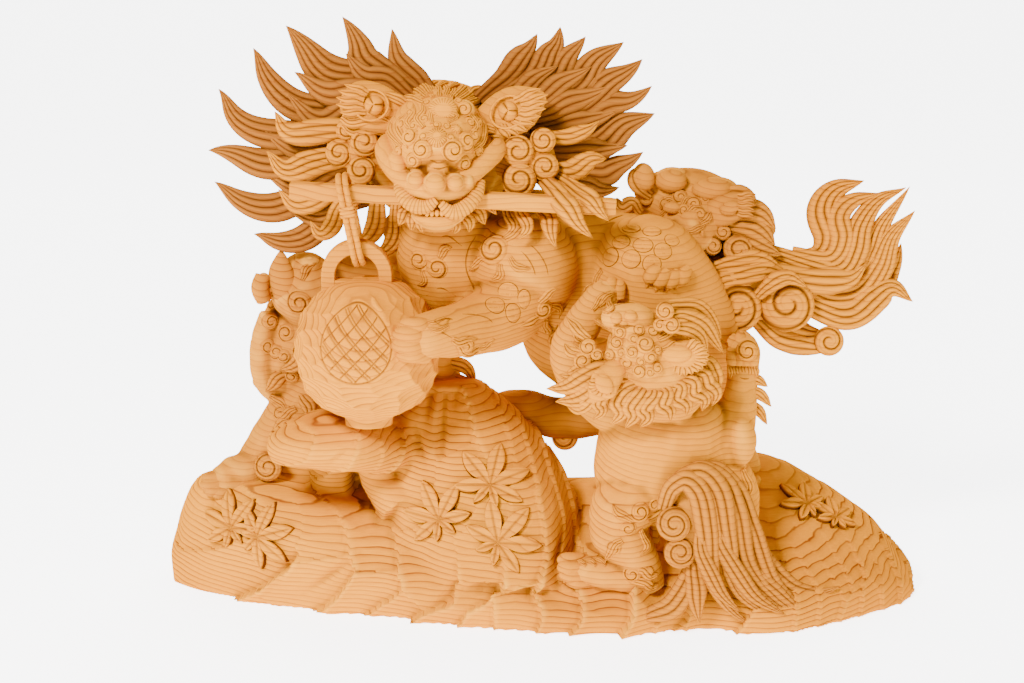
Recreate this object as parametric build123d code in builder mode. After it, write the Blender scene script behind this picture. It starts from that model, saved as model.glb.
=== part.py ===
"""A carved guardian lion with three cubs on a rock, and a jar hung from a stick in the lion's mouth.

Millimetres, +Z up, +X to the viewer's right and +Y away from the viewer, with the origin on the floor
under the middle of the rock. The carving is joined from blocks. Each block is one piece, cut back to
the pieces that carry it, and six-sided pegs cross the main joints. The cord between the stick and the
jar's handle is a link carved free, which swings on the stick.

A row of a carving table is (across, down, deep, thick): the place in the photograph in pixels, the
depth as a share of the statue's depth, and the half-width as a share of the piece's girth.
"""

import math
import os

from build123d import *

# Driving dimensions
statue_height = 325.0
statue_depth = 200.0
base_width = 424.0
base_depth = 150.0
base_rise = 72.0
peak_rise = 122.0
ledge_girth = 30.0
prop_girth = 24.0

trunk_girth = 40.0
neck_girth = 30.0
foreleg_girth = 31.0
far_foreleg_girth = 20.0
haunch_girth = 41.0
far_haunch_girth = 25.0
skull_girth = 33.0
jaw_girth = 17.0
ear_girth = 12.5
nape_girth = 44.0
lock_girth = 10.5
front_lock_girth = 7.5
beard_girth = 5.0
curl_girth = 8.2
tail_root_girth = 22.0
tail_curl_girth = 15.5
tail_lock_girth = 12.0
tail_knob_girth = 8.0

stick_side = 8.6
link_gap = 1.6
link_strand = 3.4
link_width = 7.4
link_bevel = 1.0
link_collar_height = 4.5
link_collar_relief = 0.9
link_swing_room = 1.9
jar_radius = 39.0
jar_height = 80.0
jar_sunk = 1.0
handle_outer = 19.0
handle_inner = 11.5
handle_thickness = 9.0
handle_drop = 2.5
handle_root = 14.0

cub_girth = 36.0
cub_head_girth = 25.0
cub_jaw_girth = 9.0
cub_arm_girth = 14.0
cub_leg_girth = 16.5
cub_lock_girth = 6.5
cub_ear_girth = 8.5
cub_curl_girth = 9.0
back_cub_girth = 22.0
left_cub_girth = 27.0
left_cub_leg_girth = 15.0

leaf_reach = 22.5
leaf_relief = 2.6
leaf_bed = 14.0
peg_radius = 3.0
peg_length = 26.0

# The photograph's camera, a long lens that looks down a little
view_tilt_angle = 14.0
view_distance_share = 4.1354
aim_across_share = -0.048
aim_height_share = 0.4505
slope_share = 1 / 2418.0
middle_pixels = (512.0, 341.5)

lock_flat_share = 0.62
lock_groove_share = 0.84
curl_relief_share = 0.3
curl_turns = 1.5
curl_steps = 10

tilt = math.radians(view_tilt_angle)
sight = Vector(0, math.cos(tilt), -math.sin(tilt))
upward = Vector(0, math.sin(tilt), math.cos(tilt))
aim = Vector(aim_across_share, 0, aim_height_share) * statue_height
eye = aim - sight * (view_distance_share * statue_height)
depthwise = Vector(0, 1, 0)
plumb = Vector(0, 0, 1)

pieces = {}
earlier_forms = []


def spot(across, down, deep_share):
    """The point that a pixel of the photograph shows, at a share of the statue's depth."""
    middle_across, middle_down = middle_pixels
    ray = sight + upward * (slope_share * (middle_down - down))
    ray += Vector(slope_share * (across - middle_across), 0, 0)
    return eye + ray * ((deep_share * statue_depth - eye.Y) / ray.Y)


def ring(half_width, half_depth, sides, groove_share):
    """Corners of an oval section, with every second corner drawn in."""
    corners = []
    for k in range(sides):
        angle = 2 * math.pi * k / sides
        reach = groove_share if k % 2 else 1
        corners.append((reach * half_width * math.cos(angle), reach * half_depth * math.sin(angle)))
    return corners


def carve(points, widths, flat=1.0, sides=8, groove_share=1.0, side=depthwise):
    """Closes oval sections along a path with three-cornered flats, like those that a gouge leaves."""
    rings = []
    for k, (point, width) in enumerate(zip(points, widths)):
        along = points[min(k + 1, len(points) - 1)] - points[max(k - 1, 0)]
        section = Plane(point, x_dir=along.cross(side), z_dir=along)
        corners = ring(width, width * flat, sides, groove_share)
        rings.append([section.from_local_coords(corner) for corner in corners])
    flats = [rings[0][::-1], rings[-1]]
    for lower, upper in zip(rings, rings[1:]):
        for k in range(sides):
            after = (k + 1) % sides
            flats.append((lower[k], lower[after], upper[after]))
            flats.append((lower[k], upper[after], upper[k]))
    return Solid(Shell([Face(Wire.make_polygon(corners)) for corners in flats]))


def form(rows_share, girth, flat=1.0, sides=8, side=depthwise):
    """Carves a limb or a body from its carving table."""
    points = [spot(across, down, deep) for across, down, deep, _ in rows_share]
    return carve(points, [girth * thick for *_, thick in rows_share], flat, sides, side=side)


def lock(root, bend, tip, girth, wave_share=0.06, steps=4):
    """Carves a flame lock, which bends and waves from its root and draws out to a point."""
    start, middle, end = (spot(*corner) for corner in (root, bend, tip))
    span = end - start
    across = span.cross(depthwise).normalized() * span.length
    points, widths = [], []
    for k in range(steps + 1):
        t = k / steps
        curve = start * (1 - t) ** 2 + middle * (2 * t * (1 - t)) + end * t**2
        points.append(curve + across * (wave_share * math.sin(2 * math.pi * t)))
        widths.append(girth * (0.07 + 0.93 * math.sin(math.pi * (0.25 + 0.75 * t))))
    return carve(points, widths, lock_flat_share, groove_share=lock_groove_share)


def locks(rows_share, girth, wave_share=0.06, steps=4):
    """Carves a tuft: a lock for each row of root, bend, tip and share of the girth."""
    return [lock(*ends, girth * thick, wave_share, steps) for *ends, thick in rows_share]


def curl(across, down, deep_share, girth, hand=1, start_angle=0.0):
    """Carves a snail curl: a round boss under a raised band that winds in to its middle."""
    face = Plane(spot(across, down, deep_share), z_dir=-depthwise)
    sections = []
    for drop, reach in ((0.7, 0.95), (-0.1, 0.8)):
        with BuildSketch(face.offset(-drop * girth)) as section:
            RegularPolygon(reach * girth, 10)
        sections.append(section.sketch)
    boss = loft(sections=sections, ruled=True, mode=Mode.PRIVATE)
    outer, inner = [], []
    for k in range(curl_steps + 1):
        t = k / curl_steps
        angle = math.radians(start_angle) + hand * 2 * math.pi * curl_turns * t
        for side, reach in ((outer, 0.95 - 0.7 * t), (inner, 0.6 - 0.5 * t)):
            side.append((reach * girth * math.cos(angle), reach * girth * math.sin(angle)))
    with BuildSketch(face) as band_face:
        Polygon(*outer, *reversed(inner), align=None)
    band = extrude(band_face.sketch, amount=curl_relief_share * girth, mode=Mode.PRIVATE)
    return [boss, band]


def seat(name, builder, forms=None):
    """Cuts a piece back to the forms that it is laid on, keeps the main solid and labels it."""
    forms = forms or builder.part.solids()
    box = builder.part.bounding_box()
    carriers = [carrier for carrier, carrier_box in earlier_forms if box.overlaps(carrier_box)]
    for carrier in carriers:
        add(carrier, mode=Mode.SUBTRACT)
    if carriers:
        add(builder.part.solids().sort_by(SortBy.VOLUME)[-1], mode=Mode.REPLACE)
    builder.part.label = name
    pieces[name] = builder.part
    earlier_forms.extend((carved, carved.bounding_box()) for carved in forms)


# Pegs: each row is a joint's place in the photograph, its depth and the peg's direction
pegs = [
    ((447, 205, -0.01), plumb),
    ((505, 258, -0.02), Vector(1, 0.4, -0.2)),
    ((630, 262, 0.02), depthwise),
    ((590, 300, 0.12), Vector(1, 0, 1)),
    ((740, 300, 0.10), Vector(1, 0, 0.2)),
    ((440, 400, 0.06), plumb),
    ((738, 482, 0.05), plumb),
    ((655, 520, -0.22), plumb),
]

with BuildPart() as dowels:
    for place, direction in pegs:
        peg_plane = Plane(spot(*place) - direction.normalized() * peg_length / 2, z_dir=direction)
        with BuildSketch(peg_plane):
            RegularPolygon(peg_radius, 6)
        extrude(amount=peg_length)
    seat("dowels", dowels)

# Rock. Each base row is an end-on section: its place along X as a share of the half-width, then its
# corners from the front foot over to the back, as shares of the half-depth and of the rise.
base_rows_share = [
    (-1.00, (0.22, -0.2), (0.20, 0.14), (0.26, 0.26), (0.38, 0.32),
     (0.52, 0.32), (0.64, 0.26), (0.70, 0.12), (0.70, -0.2)),
    (-0.93, (0.02, -0.2), (0.02, 0.34), (0.08, 0.60), (0.20, 0.80),
     (0.42, 0.80), (0.62, 0.60), (0.76, 0.34), (0.78, -0.2)),
    (-0.80, (-0.20, -0.2), (-0.25, 0.36), (-0.16, 0.70), (0.00, 0.88),
     (0.40, 0.88), (0.72, 0.70), (0.90, 0.40), (0.92, -0.2)),
    (-0.60, (-0.44, -0.2), (-0.50, 0.30), (-0.46, 0.58), (-0.24, 0.80),
     (0.30, 0.84), (0.72, 0.72), (0.96, 0.38), (0.98, -0.2)),
    (-0.38, (-0.60, -0.2), (-0.66, 0.22), (-0.58, 0.46), (-0.34, 0.66),
     (0.30, 0.80), (0.76, 0.70), (0.97, 0.34), (1.00, -0.2)),
    (-0.16, (-0.80, -0.2), (-0.84, 0.18), (-0.70, 0.40), (-0.40, 0.62),
     (0.30, 0.78), (0.78, 0.66), (0.98, 0.34), (1.00, -0.2)),
    (0.04, (-0.94, -0.2), (-0.96, 0.14), (-0.78, 0.30), (-0.36, 0.50),
     (0.34, 0.76), (0.76, 0.66), (0.96, 0.34), (1.00, -0.2)),
    (0.24, (-0.98, -0.2), (-0.96, 0.18), (-0.74, 0.33), (-0.34, 0.50),
     (0.34, 0.80), (0.74, 0.70), (0.94, 0.36), (0.98, -0.2)),
    (0.42, (-0.84, -0.2), (-0.86, 0.18), (-0.66, 0.38), (-0.26, 0.62),
     (0.38, 0.92), (0.74, 0.80), (0.92, 0.40), (0.96, -0.2)),
    (0.60, (-0.94, -0.2), (-0.92, 0.20), (-0.62, 0.46), (-0.16, 0.76),
     (0.40, 1.00), (0.72, 0.82), (0.88, 0.42), (0.92, -0.2)),
    (0.76, (-0.70, -0.2), (-0.70, 0.18), (-0.44, 0.42), (-0.06, 0.64),
     (0.36, 0.80), (0.64, 0.64), (0.78, 0.34), (0.82, -0.2)),
    (0.90, (-0.44, -0.2), (-0.43, 0.14), (-0.24, 0.32), (0.04, 0.46),
     (0.30, 0.52), (0.50, 0.42), (0.62, 0.24), (0.66, -0.2)),
    (1.00, (-0.16, -0.2), (-0.14, 0.08), (-0.06, 0.14), (0.06, 0.18),
     (0.18, 0.18), (0.30, 0.14), (0.36, 0.08), (0.38, -0.2)),
]

with BuildPart() as rock_base:
    for along_share, *corners_share in base_rows_share:
        with BuildSketch(Plane.YZ.offset(along_share * base_width / 2)):
            Polygon(*[(deep * base_depth / 2, high * base_rise) for deep, high in corners_share], align=None)
    loft(ruled=True)
    split(bisect_by=Plane.XY, keep=Keep.TOP)
    seat("rock_base", rock_base)

# Each peak row is a level section: its height, then its corners from the left end round by the front
peak_rows_share = [
    (0.20, (-0.43, 0.20), (-0.39, -0.42), (-0.28, -0.70), (-0.12, -0.86),
     (0.02, -0.84), (0.09, -0.44), (0.10, 0.30), (-0.12, 0.66)),
    (0.47, (-0.42, 0.20), (-0.38, -0.36), (-0.28, -0.54), (-0.14, -0.66),
     (0.00, -0.64), (0.07, -0.34), (0.08, 0.28), (-0.14, 0.60)),
    (0.68, (-0.41, 0.20), (-0.37, -0.26), (-0.29, -0.42), (-0.17, -0.48),
     (-0.06, -0.44), (0.01, -0.18), (0.01, 0.26), (-0.17, 0.54)),
    (0.88, (-0.39, 0.18), (-0.36, -0.14), (-0.30, -0.24), (-0.22, -0.26),
     (-0.13, -0.22), (-0.07, -0.04), (-0.08, 0.22), (-0.20, 0.44)),
    (1.00, (-0.36, 0.16), (-0.34, 0.02), (-0.30, -0.06), (-0.24, -0.08),
     (-0.19, -0.04), (-0.15, 0.06), (-0.17, 0.20), (-0.24, 0.32)),
]

with BuildPart() as rock_peak:
    for height_share, *corners_share in peak_rows_share:
        with BuildSketch(Plane.XY.offset(height_share * peak_rise)):
            corners = [(wide * base_width / 2, deep * base_depth / 2) for wide, deep in corners_share]
            Polygon(*corners, align=None)
    loft(ruled=True)
    seat("rock_peak", rock_peak)

ledge_rows_share = [
    (283, 447, -0.15, 0.20),
    (292, 443, -0.16, 0.50),
    (318, 438, -0.16, 0.72),
    (350, 440, -0.16, 0.74),
    (382, 438, -0.14, 0.64),
    (412, 430, -0.07, 0.42),
]
prop_rows_share = [
    (345, 450, 0.04, 1.00),
    (344, 480, 0.06, 0.76),
    (342, 505, 0.06, 0.78),
    (340, 535, 0.05, 0.85),
]

with BuildPart() as jar_ledge:
    add(form(ledge_rows_share, ledge_girth, flat=1.25, sides=12))
    add(form(prop_rows_share, prop_girth))
    seat("jar_ledge", jar_ledge)

# Maple leaves in relief, with seven lobes. Each lobe is its angle from the stalk's line and its reach.
leaf_lobes_share = [(-128, 0.52), (-86, 0.82), (-43, 0.96), (0, 1.0), (43, 0.96), (86, 0.82), (128, 0.52)]
leaf_notch_share = 0.44
leaf_stalk_share = 0.16


def leaf(across, down, deep_share, turn_angle, facing, reach):
    """Lays a leaf on the rock: its outline, run from its relief back into the rock that cuts it off."""
    outline = [(leaf_stalk_share * reach, 180)]
    for k, (lobe_angle, lobe_share) in enumerate(leaf_lobes_share):
        outline.append((lobe_share * reach, lobe_angle))
        if k < len(leaf_lobes_share) - 1:
            outline.append((leaf_notch_share * reach, (lobe_angle + leaf_lobes_share[k + 1][0]) / 2))
    corners = []
    for distance, angle in outline:
        turned = math.radians(angle + turn_angle)
        corners.append((distance * math.cos(turned), distance * math.sin(turned)))
    face = Plane(spot(across, down, deep_share), x_dir=(1, 0, 0), z_dir=facing)
    with BuildSketch(face.offset(-leaf_bed)) as outline_face:
        Polygon(*corners, align=None)
    extrude(outline_face.sketch, amount=leaf_bed + leaf_relief)


front_slope = Vector(0, -1, 0.8)
end_slope = Vector(-0.4, -1, 0.5)

with BuildPart() as maple_leaf_high:
    leaf(492, 478, -0.20, 30, front_slope, leaf_reach)
    seat("maple_leaf_high", maple_leaf_high)

with BuildPart() as maple_leaf_middle:
    leaf(440, 517, -0.25, 200, front_slope, leaf_reach)
    seat("maple_leaf_middle", maple_leaf_middle)

with BuildPart() as maple_leaf_low:
    leaf(492, 535, -0.29, 120, front_slope, leaf_reach)
    seat("maple_leaf_low", maple_leaf_low)

with BuildPart() as maple_leaves_left:
    leaf(231, 525, -0.115, 60, end_slope, leaf_reach)
    leaf(264, 527, -0.135, 150, end_slope, leaf_reach)
    seat("maple_leaves_left", maple_leaves_left)

with BuildPart() as maple_leaf_right:
    leaf(815, 520, -0.10, 200, Vector(0.3, -1, 0.9), leaf_reach)
    seat("maple_leaf_right", maple_leaf_right)

# Jar: its turned profile as shares of its radius and its height, from the foot up
jar_profile_share = [
    (0.41, 0.00), (0.46, 0.03), (0.60, 0.09), (0.82, 0.18), (0.94, 0.30), (1.00, 0.47),
    (0.97, 0.64), (0.87, 0.78), (0.70, 0.89), (0.46, 0.97), (0.20, 1.00),
]
jar_foot = spot(369, 421, -0.204) - plumb * jar_sunk
jar_upright = Plane(jar_foot, x_dir=(1, 0, 0), z_dir=(0, -1, 0))

with BuildPart() as jar:
    with BuildSketch(jar_upright):
        with BuildLine():
            Polyline(
                (0, 0),
                *[(jar_radius * wide, jar_height * high) for wide, high in jar_profile_share],
                (0, jar_height),
                close=True,
            )
        make_face()
    revolve(axis=Axis(jar_foot, plumb), revolution_arc=360)
    seat("jar", jar)

handle_lean = spot(357, 268, -0.204) - jar_foot
handle_centre = jar_foot + Vector(handle_lean.X, 0, jar_height + handle_drop)
handle_face = Plane(handle_centre, x_dir=(1, 0, 0), z_dir=(0, -1, 0))

with BuildPart() as jar_handle:
    with BuildSketch(handle_face):
        Circle(handle_outer)
        with BuildLine():
            Polyline(
                (-handle_outer, 0),
                (-handle_outer, -handle_root),
                (handle_outer, -handle_root),
                (handle_outer, 0),
                close=True,
            )
        make_face()
        Circle(handle_inner, mode=Mode.SUBTRACT)
        with BuildLine():
            Polyline(
                (-handle_inner, -handle_drop),
                (-handle_inner, -handle_root),
                (handle_inner, -handle_root),
                (handle_inner, -handle_drop),
                close=True,
            )
        make_face()
    extrude(amount=handle_thickness / 2, both=True)
    seat("jar_handle", jar_handle)

# Stick, square in section, held across the mouth
stick_left = spot(290, 190, -0.20)
stick_right = spot(616, 207, -0.225)
stick_run = stick_right - stick_left

with BuildPart() as stick:
    with BuildSketch(Plane(stick_left, x_dir=depthwise, z_dir=stick_run)):
        Rectangle(stick_side, stick_side)
    extrude(amount=stick_run.length)
    seat("stick", stick)

# Cord link: a long loop with its ends round the stick and round the bar of the jar's handle
link_place_share = 0.17
stick_middle = stick_left + stick_run * link_place_share
bar_middle = handle_centre + plumb * ((handle_outer + handle_inner) / 2)
link_line = stick_middle - bar_middle
link_inner = stick_side * math.sqrt(0.5) + link_gap
link_outer = link_inner + link_strand
link_face = Plane(bar_middle, x_dir=link_line, z_dir=link_line.cross(depthwise)).shift_origin(
    bar_middle + link_line / 2
)
collar_place = link_line.length / 2 - link_outer - link_collar_height / 2

with BuildPart() as cord_link:
    with BuildSketch(link_face):
        SlotCenterToCenter(link_line.length, 2 * link_outer)
        SlotCenterToCenter(link_line.length, 2 * link_inner, mode=Mode.SUBTRACT)
    extrude(amount=link_width / 2, both=True)
    chamfer(cord_link.edges().filter_by(GeomType.LINE, reverse=True), link_bevel)
    with BuildSketch(link_face):
        with Locations((collar_place, 0)):
            Rectangle(link_collar_height, 2 * (link_outer + link_collar_relief))
        SlotCenterToCenter(link_line.length, 2 * link_inner, mode=Mode.SUBTRACT)
    extrude(amount=link_width / 2 + link_collar_relief, both=True)
cord_link.part.label = "cord_link"
pieces["cord_link"] = cord_link.part

# The room that the link needs to swing, which later pieces are cut back from
with BuildPart() as link_room:
    with BuildSketch(link_face):
        SlotCenterToCenter(link_line.length, 2 * (link_outer + link_collar_relief + link_swing_room))
    extrude(amount=link_width / 2 + link_collar_relief + link_gap, both=True)
earlier_forms.append((link_room.part, link_room.part.bounding_box()))

# Lion's body
trunk_rows_share = [
    (415, 262, 0.07, 0.28),
    (440, 258, 0.06, 0.84),
    (490, 256, 0.06, 0.92),
    (545, 258, 0.07, 0.94),
    (600, 268, 0.08, 1.00),
    (650, 280, 0.09, 1.00),
    (695, 295, 0.10, 0.88),
    (728, 312, 0.11, 0.64),
    (748, 324, 0.11, 0.28),
]
with BuildPart() as lion_trunk:
    add(form(trunk_rows_share, trunk_girth, flat=0.9, sides=12))
    seat("lion_trunk", lion_trunk)

neck_rows_share = [
    (455, 312, -0.01, 0.26),
    (455, 300, -0.01, 0.60),
    (453, 280, -0.02, 0.90),
    (450, 252, -0.02, 1.00),
    (447, 225, -0.01, 0.93),
    (445, 195, 0.00, 0.80),
]
with BuildPart() as lion_neck:
    add(form(neck_rows_share, neck_girth))
    seat("lion_neck", lion_neck)

haunch_rows_share = [
    (600, 262, -0.03, 0.45),
    (615, 262, -0.04, 0.82),
    (645, 272, -0.05, 1.00),
    (680, 295, -0.04, 0.88),
    (705, 325, -0.01, 0.62),
    (722, 355, 0.03, 0.42),
    (728, 400, 0.07, 0.30),
    (735, 440, 0.09, 0.25),
    (742, 465, 0.09, 0.26),
    (744, 490, 0.09, 0.28),
    (745, 515, 0.09, 0.24),
]
with BuildPart() as hind_leg_near:
    add(form(haunch_rows_share, haunch_girth, flat=0.8))
    seat("hind_leg_near", hind_leg_near)

far_haunch_rows_share = [
    (575, 300, 0.15, 0.80),
    (562, 330, 0.15, 0.96),
    (585, 362, 0.16, 0.84),
    (606, 392, 0.16, 0.64),
    (592, 414, 0.16, 0.52),
    (555, 418, 0.15, 0.48),
    (525, 408, 0.13, 0.44),
    (500, 408, 0.12, 0.36),
    (484, 414, 0.11, 0.24),
]
with BuildPart() as hind_leg_far:
    forms = [
        form(far_haunch_rows_share, far_haunch_girth),
        *curl(565, 437, 0.14, tail_knob_girth, start_angle=90),
    ]
    add(forms)
    seat("hind_leg_far", hind_leg_far, forms)

foreleg_rows_share = [
    (550, 222, -0.03, 0.34),
    (537, 245, -0.06, 0.86),
    (522, 268, -0.08, 1.00),
    (512, 292, -0.10, 0.86),
    (503, 312, -0.14, 0.66),
    (480, 324, -0.20, 0.54),
    (455, 331, -0.27, 0.47),
    (435, 334, -0.32, 0.42),
    (418, 338, -0.35, 0.38),
    (403, 343, -0.365, 0.22),
]
with BuildPart() as foreleg_near:
    add(form(foreleg_rows_share, foreleg_girth))
    seat("foreleg_near", foreleg_near)

far_foreleg_rows_share = [
    (420, 262, 0.10, 0.95),
    (415, 290, 0.11, 1.00),
    (420, 320, 0.12, 0.82),
    (432, 350, 0.12, 0.66),
    (440, 375, 0.11, 0.58),
    (446, 395, 0.08, 0.52),
    (448, 412, 0.06, 0.46),
]
with BuildPart() as foreleg_far:
    add(form(far_foreleg_rows_share, far_foreleg_girth))
    seat("foreleg_far", foreleg_far)

# Lion's head
skull_rows_share = [
    (438, 146, 0.06, 0.80),
    (438, 145, 0.00, 0.98),
    (437, 144, -0.07, 1.00),
    (437, 146, -0.14, 0.96),
    (437, 152, -0.20, 0.80),
    (437, 167, -0.25, 0.60),
    (437, 177, -0.29, 0.38),
]
with BuildPart() as lion_skull:
    add(form(skull_rows_share, skull_girth, flat=1.1, sides=12, side=plumb))
    seat("lion_skull", lion_skull)

jaw_rows_share = [
    (437, 205, -0.08, 0.90),
    (437, 212, -0.16, 1.00),
    (437, 216, -0.22, 0.84),
    (437, 217, -0.26, 0.42),
]
with BuildPart() as lower_jaw:
    add(form(jaw_rows_share, jaw_girth, flat=0.6, side=plumb))
    seat("lower_jaw", lower_jaw)

ear_left_rows_share = [
    (408, 127, -0.05, 0.60),
    (392, 114, -0.07, 1.00),
    (368, 103, -0.08, 0.92),
    (342, 92, -0.07, 0.06),
]
ear_left_cup_rows_share = [(396, 117, -0.11, 0.50), (375, 107, -0.115, 0.60), (352, 96, -0.10, 0.10)]
with BuildPart() as ear_left:
    add(form(ear_left_rows_share, ear_girth, flat=0.55))
    add(form(ear_left_cup_rows_share, ear_girth, flat=0.5, sides=6), mode=Mode.SUBTRACT)
    seat("ear_left", ear_left)

ear_right_rows_share = [
    (468, 130, -0.05, 0.60),
    (487, 120, -0.07, 1.00),
    (512, 108, -0.08, 0.92),
    (543, 92, -0.07, 0.06),
]
ear_right_cup_rows_share = [(484, 122, -0.11, 0.50), (506, 111, -0.115, 0.60), (530, 98, -0.10, 0.10)]
with BuildPart() as ear_right:
    add(form(ear_right_rows_share, ear_girth, flat=0.55))
    add(form(ear_right_cup_rows_share, ear_girth, flat=0.5, sides=6), mode=Mode.SUBTRACT)
    seat("ear_right", ear_right)

nape_rows_share = [
    (438, 152, 0.02, 0.90),
    (438, 152, 0.07, 1.00),
    (440, 154, 0.13, 0.92),
    (442, 160, 0.19, 0.60),
]
with BuildPart() as mane_nape:
    add(form(nape_rows_share, nape_girth, flat=0.95, sides=12, side=plumb))
    seat("mane_nape", mane_nape)

# Locks. Each row is a lock's root, bend and tip, then its half-width as a share of its girth.
left_lock_rows_share = [
    ((435, 95, 0.06), (408, 62, 0.08), (389, 31, 0.10), 0.95),
    ((405, 100, 0.06), (370, 62, 0.08), (341, 22, 0.10), 1.25),
    ((385, 105, 0.05), (322, 62, 0.07), (285, 32, 0.09), 1.30),
    ((370, 125, 0.04), (292, 96, 0.06), (251, 53, 0.08), 1.25),
    ((365, 140, 0.03), (262, 128, 0.05), (216, 95, 0.07), 1.15),
    ((360, 160, 0.02), (268, 160, 0.04), (210, 157, 0.06), 1.05),
    ((360, 180, 0.02), (275, 198, 0.03), (215, 189, 0.05), 1.00),
    ((365, 200, 0.01), (305, 225, 0.02), (256, 239, 0.03), 0.95),
]
with BuildPart() as mane_left:
    forms = [
        *locks(left_lock_rows_share, lock_girth),
    ]
    add(forms)
    seat("mane_left", mane_left, forms)

right_lock_rows_share = [
    ((480, 100, 0.06), (515, 66, 0.08), (533, 36, 0.10), 0.85),
    ((500, 105, 0.06), (540, 66, 0.08), (556, 29, 0.10), 0.95),
    ((515, 115, 0.05), (560, 84, 0.07), (581, 37, 0.09), 1.05),
    ((520, 125, 0.04), (592, 92, 0.06), (619, 39, 0.08), 1.15),
    ((530, 135, 0.03), (612, 108, 0.05), (637, 58, 0.07), 1.05),
    ((535, 145, 0.02), (626, 130, 0.04), (651, 104, 0.06), 1.00),
    ((540, 160, 0.02), (620, 165, 0.03), (637, 150, 0.05), 0.95),
    ((540, 175, 0.01), (600, 195, 0.02), (605, 157, 0.00), 0.70),
]
with BuildPart() as mane_right:
    forms = [
        *locks(right_lock_rows_share, lock_girth),
    ]
    add(forms)
    seat("mane_right", mane_right, forms)

inner_lock_rows_share = [
    ((375, 135, -0.03), (315, 135, -0.04), (276, 114, -0.02), 1.15),
    ((372, 160, -0.03), (310, 178, -0.04), (269, 156, -0.02), 1.15),
    ((375, 185, -0.03), (320, 212, -0.04), (279, 190, -0.03), 1.10),
    ((385, 200, -0.02), (355, 235, -0.03), (322, 246, -0.03), 1.05),
    ((402, 205, -0.02), (385, 245, -0.04), (356, 262, -0.04), 1.00),
]
with BuildPart() as mane_inner_left:
    forms = [
        *locks(inner_lock_rows_share, front_lock_girth),
    ]
    add(forms)
    seat("mane_inner_left", mane_inner_left, forms)

inner_right_lock_rows_share = [
    ((535, 160, -0.10), (575, 170, -0.16), (568, 180, -0.26), 0.80),
    ((548, 175, -0.12), (588, 190, -0.24), (593, 236, -0.27), 1.20),
    ((555, 185, -0.10), (606, 185, -0.20), (607, 219, -0.24), 1.00),
    ((515, 195, -0.10), (535, 220, -0.20), (537, 246, -0.24), 1.10),
    ((530, 195, -0.08), (560, 215, -0.16), (557, 247, -0.22), 1.00),
]
with BuildPart() as mane_inner_right:
    forms = [
        *locks(inner_right_lock_rows_share, front_lock_girth),
    ]
    add(forms)
    seat("mane_inner_right", mane_inner_right, forms)

left_curl_bed_rows_share = [
    (328, 152, -0.045, 0.8),
    (350, 152, -0.05, 1.2),
    (372, 155, -0.05, 1.2),
    (394, 160, -0.04, 0.8),
]
with BuildPart() as mane_curls_left:
    forms = [
        form(left_curl_bed_rows_share, curl_girth),
        *curl(337, 152, -0.08, curl_girth, start_angle=200),
        *curl(368, 140, -0.085, curl_girth, start_angle=30),
        *curl(362, 166, -0.09, curl_girth, start_angle=300),
    ]
    add(forms)
    seat("mane_curls_left", mane_curls_left, forms)

right_curl_bed_rows_share = [(498, 162, -0.06, 0.9), (525, 162, -0.08, 1.5), (552, 155, -0.06, 0.9)]
with BuildPart() as mane_curls_right:
    forms = [
        form(right_curl_bed_rows_share, curl_girth),
        *curl(519, 150, -0.12, curl_girth, hand=-1, start_angle=200),
        *curl(545, 142, -0.10, curl_girth, start_angle=60),
        *curl(521, 179, -0.14, curl_girth, start_angle=120),
        *curl(545, 167, -0.12, curl_girth, hand=-1, start_angle=320),
    ]
    add(forms)
    seat("mane_curls_right", mane_curls_right, forms)

beard_lock_rows_share = [
    ((412, 200, -0.12), (402, 215, -0.15), (398, 233, -0.14), 1.0),
    ((425, 214, -0.18), (418, 226, -0.22), (408, 240, -0.21), 0.9),
    ((452, 214, -0.18), (460, 226, -0.22), (472, 238, -0.21), 1.0),
    ((466, 202, -0.12), (478, 216, -0.15), (484, 234, -0.14), 1.0),
]
chin_rows_share = [(440, 216, -0.06, 1.6), (440, 224, -0.12, 1.9), (440, 228, -0.18, 1.0)]
with BuildPart() as beard:
    forms = [
        *locks(beard_lock_rows_share, beard_girth, steps=3),
        form(chin_rows_share, beard_girth, side=plumb),
    ]
    add(forms)
    seat("beard", beard, forms)

# Tail
tail_root_rows_share = [
    (715, 285, 0.08, 0.5),
    (735, 285, 0.08, 0.9),
    (765, 285, 0.08, 1.0),
    (800, 282, 0.09, 0.5),
]
with BuildPart() as tail_curls:
    forms = [
        form(tail_root_rows_share, tail_root_girth, flat=0.6),
        *curl(737, 304, 0.03, tail_curl_girth, start_angle=120),
        *curl(787, 304, 0.04, tail_curl_girth, hand=-1, start_angle=60),
        *curl(740, 248, 0.04, 0.58 * tail_curl_girth, start_angle=180),
        *curl(712, 244, 0.05, 0.4 * tail_curl_girth, start_angle=0),
        *curl(722, 229, 0.06, 0.36 * tail_curl_girth, start_angle=90),
    ]
    add(forms)
    seat("tail_curls", tail_curls, forms)

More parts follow.
